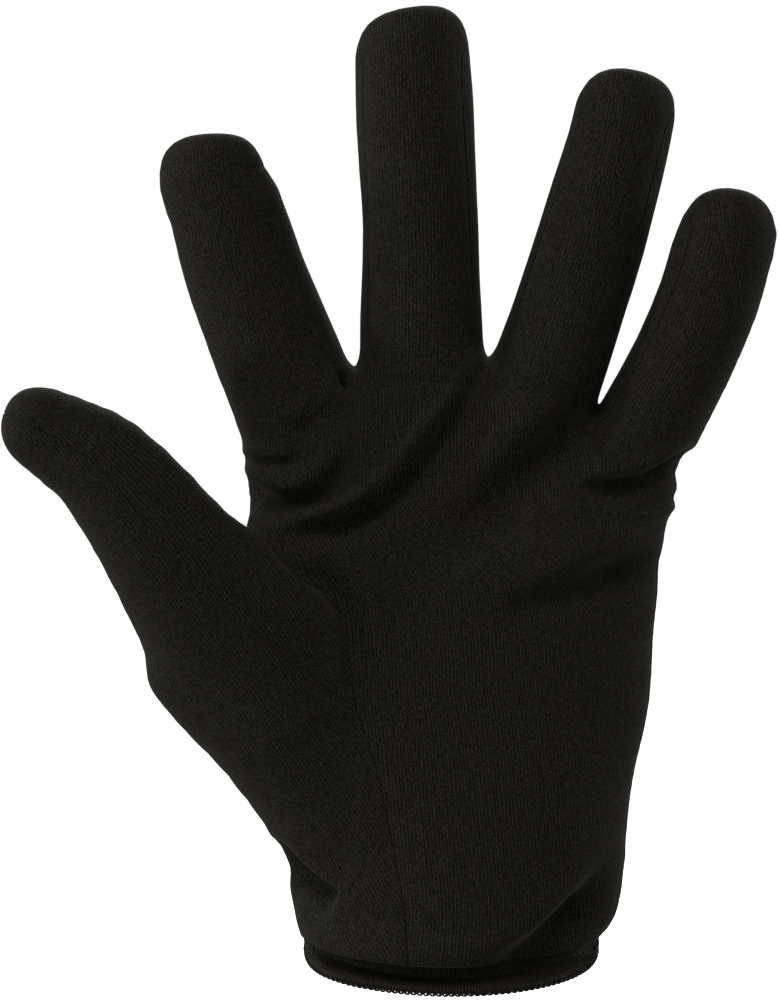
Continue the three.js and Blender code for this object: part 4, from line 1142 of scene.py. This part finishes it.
# Name of each strip, its flat width and length in metres, and its flat area in square metres
FOURCHETTES = (
    ("index_middle", (0.020, 0.138), 0.00166),
    ("middle_ring", (0.020, 0.145), 0.00146),
    ("ring_little", (0.016, 0.128), 0.00150),
)
for number, (name, flat_size, flat_area) in enumerate(FOURCHETTES):
    grid = fourchette_grid(number)
    cloth = np.stack([arc(grid, 1, grid.shape[1] // 2), arc(grid, 0)], axis=-1)
    fourchette = cloth_panel("fourchette_" + name + "_cloth", [(grid, cloth)], outward=-1)
    finish_cloth(fourchette, "fourchette_" + name)

# Hem: the edge of all the panels, rolled over and overlocked with bulky nylon thread. One
# thread lies round the roll in close loops; a second runs along its lower edge in small knots.
HEM_LOOPS = 264
LOOP_POINTS = 12
HEM_ROLL = {"half_height": 4.8, "half_width": 0.75, "middle": 4.0}
HEM_INSET = {"side": 0.8, "front": 1.95}
HEM_LEAN = {"side": -0.2, "front": 0.25}
# Above its lower edge the roll draws in under the cloth that overhangs it
HEM_NECK = {"from": -3.7, "to": -2.0, "side": 0.6, "front": 5.4}
HEM_BARE = {"side": 1.6, "front": 3.6}
HEM_RISE = {"side": 1.8, "front": 0.5}
THREAD_RADIUS = 0.24
THREAD_SIDES = 6
THREAD_UNEVEN = {"height": 0.07, "waves": (37, 101), "shift": 1.0}
EDGE_THREAD = {"angle": -1.0, "sway": 0.22, "rise": 0.1, "radius": 0.22, "points": 1900}
ROLL_STEPS = 240
ROLL_SIDES = 28
# The roll lies a little inside its cover of thread; its knit is this many millimetres to a step
ROLL_OUTSET = -0.1
ROLL_KNIT = (0.75, 0.5)
even = np.linspace(0.0, 1.0, ROLL_STEPS + 1)
hem_middle = surface(around_rays(2 * math.pi * even, HEM_ROLL["middle"], HEM_TILT))
hem_length = arc(hem_middle[None], 1)[0]
even = np.interp(even * hem_length[-1], hem_length, even)[:-1]
hem_middle = surface(around_rays(2 * math.pi * even, HEM_ROLL["middle"], HEM_TILT))
hem_out = unit(form_normal(hem_middle) * (1.0, 1.0, 0.0))


def round_wrist(sizes, frontal):
    """A size that goes from its value at the wrist's sides to that at its front and back."""
    return mix(sizes["side"], sizes["front"], frontal)


hem_middle = hem_middle - hem_out * round_wrist(HEM_INSET, np.abs(hem_out[:, 1:2]))


def round_hem(turn):
    """Middle of the hem's roll and the way out from it, at shares of a turn round the wrist."""
    position = np.asarray(turn) * ROLL_STEPS
    low = np.floor(position).astype(int)
    share = (position - low)[..., None]
    low = low % ROLL_STEPS
    high = (low + 1) % ROLL_STEPS
    return mix(hem_middle[low], hem_middle[high], share), unit(mix(hem_out[low], hem_out[high], share))


def roll_surface(turn, angle, outset, cover=0.0):
    """Points on the roll's oval section, angle 0 to the outside and a quarter turn up. What the
    roll's cover of thread leaves bare is the upper part, most of it in front. The lower part
    fills the loops of thread."""
    middle, out = round_hem(turn)
    frontal = np.abs(out[..., 1])
    unbound = round_wrist(HEM_BARE, frontal)
    bare = cover * unbound
    rise = (HEM_ROLL["half_height"] - bare + outset) * np.sin(angle) - bare
    sideways = (HEM_ROLL["half_width"] + outset) * np.cos(angle)
    reach = (rise + unbound) / (HEM_ROLL["half_height"] - unbound)
    filling = HEM_ROLL["half_width"] * np.sqrt(np.clip(1.0 - reach ** 2, 0.0, 1.0))
    sideways = np.sign(sideways) * np.maximum(np.abs(sideways), filling)
    sideways = sideways - round_wrist(HEM_LEAN, frontal) * rise
    neck = smoothstep(rise, HEM_NECK["from"], HEM_NECK["to"])
    sideways = sideways - round_wrist(HEM_NECK, frontal ** 2) * neck
    place = middle + out * sideways[..., None]
    place[..., 2] += rise + round_wrist(HEM_RISE, frontal)
    return place


def ring_faces(rows, sides):
    """Faces of a tube that closes on itself both ways."""
    row, side = np.meshgrid(np.arange(rows), np.arange(sides), indexing="ij")
    next_row, next_side = (row + 1) % rows, (side + 1) % sides
    corners = ((row, side), (row, next_side), (next_row, next_side), (next_row, side))
    return np.stack([r * sides + c for r, c in corners], axis=-1).reshape(-1, 4)


def closed_tube(name, path, outward, radius):
    """A round thread along a closed path; its coordinates are length along it and angle."""
    along = unit(np.roll(path, -1, axis=0) - np.roll(path, 1, axis=0))
    beside = unit(np.cross(along, outward))
    outward = np.cross(beside, along)
    turn = np.linspace(0.0, 2 * math.pi, THREAD_SIDES, endpoint=False)[None, :, None]
    points = path[:, None] + radius * (outward[:, None] * np.cos(turn) + beside[:, None] * np.sin(turn))
    length = np.cumsum(np.linalg.norm(path - np.roll(path, 1, axis=0), axis=1))
    coordinates = np.stack(np.broadcast_arrays(length[:, None], turn[..., 0]), axis=-1)
    faces = ring_faces(len(path), THREAD_SIDES)
    return cloth_mesh(name, points.reshape(-1, 3), coordinates.reshape(-1, 2), faces)


# Textured nylon sewing thread, two plies twisted once in every millimetre, with a faint gloss.
# Its colour is painted darker between the plies as shade and lighter in specks on the loops as painted glints
THREAD_COLOUR = "#38332a"
THREAD_PAINTED_SHADE = "#080706"
THREAD_LAY = 1.0
THREAD_PLIES = 2.0
THREAD_BUMP = 0.05
PLY_HEIGHT = 0.15
THREAD_PAINTED_SHADES = {"dark": 0.45, "light": 0.68}

nylon_thread, tree = new_material("textured_nylon_thread")
uv = add_node(tree, "ShaderNodeUVMap", {"uv_map": "knit"})
split = add_node(tree, "ShaderNodeSeparateXYZ", Vector=uv)
twist = add_node(tree, "ShaderNodeMath", {"operation": "MULTIPLY_ADD"}, i0=split.outputs[0],
                 i1=2 * math.pi / THREAD_LAY, i2=split.outputs[1])
ply_turn = add_node(tree, "ShaderNodeMath", {"operation": "MULTIPLY"}, i0=twist, i1=THREAD_PLIES)
ply = add_node(tree, "ShaderNodeMath", {"operation": "COSINE"}, i0=ply_turn)
fibre = add_node(tree, "ShaderNodeTexNoise", Scale=FIBRE_SCALE, Detail=2.0, Vector=uv)
height = add_node(tree, "ShaderNodeMath", {"operation": "MULTIPLY_ADD"}, i0=ply, i1=PLY_HEIGHT,
                  i2=fibre.outputs["Fac"])
bump = add_node(tree, "ShaderNodeBump", Strength=0.7, Distance=THREAD_BUMP * MM, Height=height)
shade = add_node(tree, "ShaderNodeMapRange", Value=height, From_Min=THREAD_PAINTED_SHADES["dark"],
                 From_Max=THREAD_PAINTED_SHADES["light"])
# Painted shade and glints: the thread's colour darkens between its plies and lightens in specks
tint = add_node(tree, "ShaderNodeMix", {"data_type": "RGBA"}, Factor=shade.outputs["Result"],
                i6=linear(THREAD_PAINTED_SHADE), i7=linear(THREAD_COLOUR))
thread = add_node(tree, "ShaderNodeBsdfPrincipled", Base_Color=tint.outputs[2], Roughness=0.5, Normal=bump,
                  Sheen_Weight=0.05, Sheen_Roughness=0.3, Sheen_Tint=linear(JERSEY_BLOOM),
                  Specular_IOR_Level=0.1)
add_node(tree, "ShaderNodeOutputMaterial", Surface=thread)

turn = np.arange(HEM_LOOPS * LOOP_POINTS) / (HEM_LOOPS * LOOP_POINTS)
loop_angle = 2 * math.pi * HEM_LOOPS * turn
slow, quick = (2 * math.pi * waves * turn for waves in THREAD_UNEVEN["waves"])
uneven = THREAD_UNEVEN["height"] * (np.sin(slow) + np.sin(quick + THREAD_UNEVEN["shift"]))
loops = roll_surface(turn, loop_angle, uneven, cover=1.0)
loops_out = loops - round_hem(turn)[0]
overlock = closed_tube("hem_overlock", loops, loops_out, THREAD_RADIUS)

turn = np.arange(EDGE_THREAD["points"]) / EDGE_THREAD["points"]
knots = 2 * math.pi * (HEM_LOOPS // 2) * turn
edge_path = roll_surface(turn, EDGE_THREAD["angle"] + EDGE_THREAD["sway"] * np.sin(knots),
                         THREAD_RADIUS + EDGE_THREAD["rise"] * (1.0 + np.cos(2 * knots)) / 2, cover=1.0)
edge_thread = closed_tube("hem_edge_thread", edge_path, edge_path - round_hem(turn)[0], EDGE_THREAD["radius"])

step, side = np.meshgrid(np.arange(ROLL_STEPS), np.arange(ROLL_SIDES), indexing="ij")
roll_angle = 2 * math.pi * side / ROLL_SIDES
roll_points = roll_surface(step / ROLL_STEPS, roll_angle, np.full(step.shape, ROLL_OUTSET))
roll_faces = ring_faces(ROLL_STEPS, ROLL_SIDES)[:, (0, 3, 2, 1)]
roll_cloth = np.stack([step * ROLL_KNIT[0], side * ROLL_KNIT[1]], axis=-1).reshape(-1, 2)
hem_roll = cloth_mesh("hem_roll", roll_points.reshape(-1, 3), roll_cloth, roll_faces)
hem_roll.data.materials.append(jersey)
for made in (overlock, edge_thread):
    made.data.materials.append(nylon_thread)
for made in (hem_roll, overlock, edge_thread):
    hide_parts("hem")
    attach(made, "root")
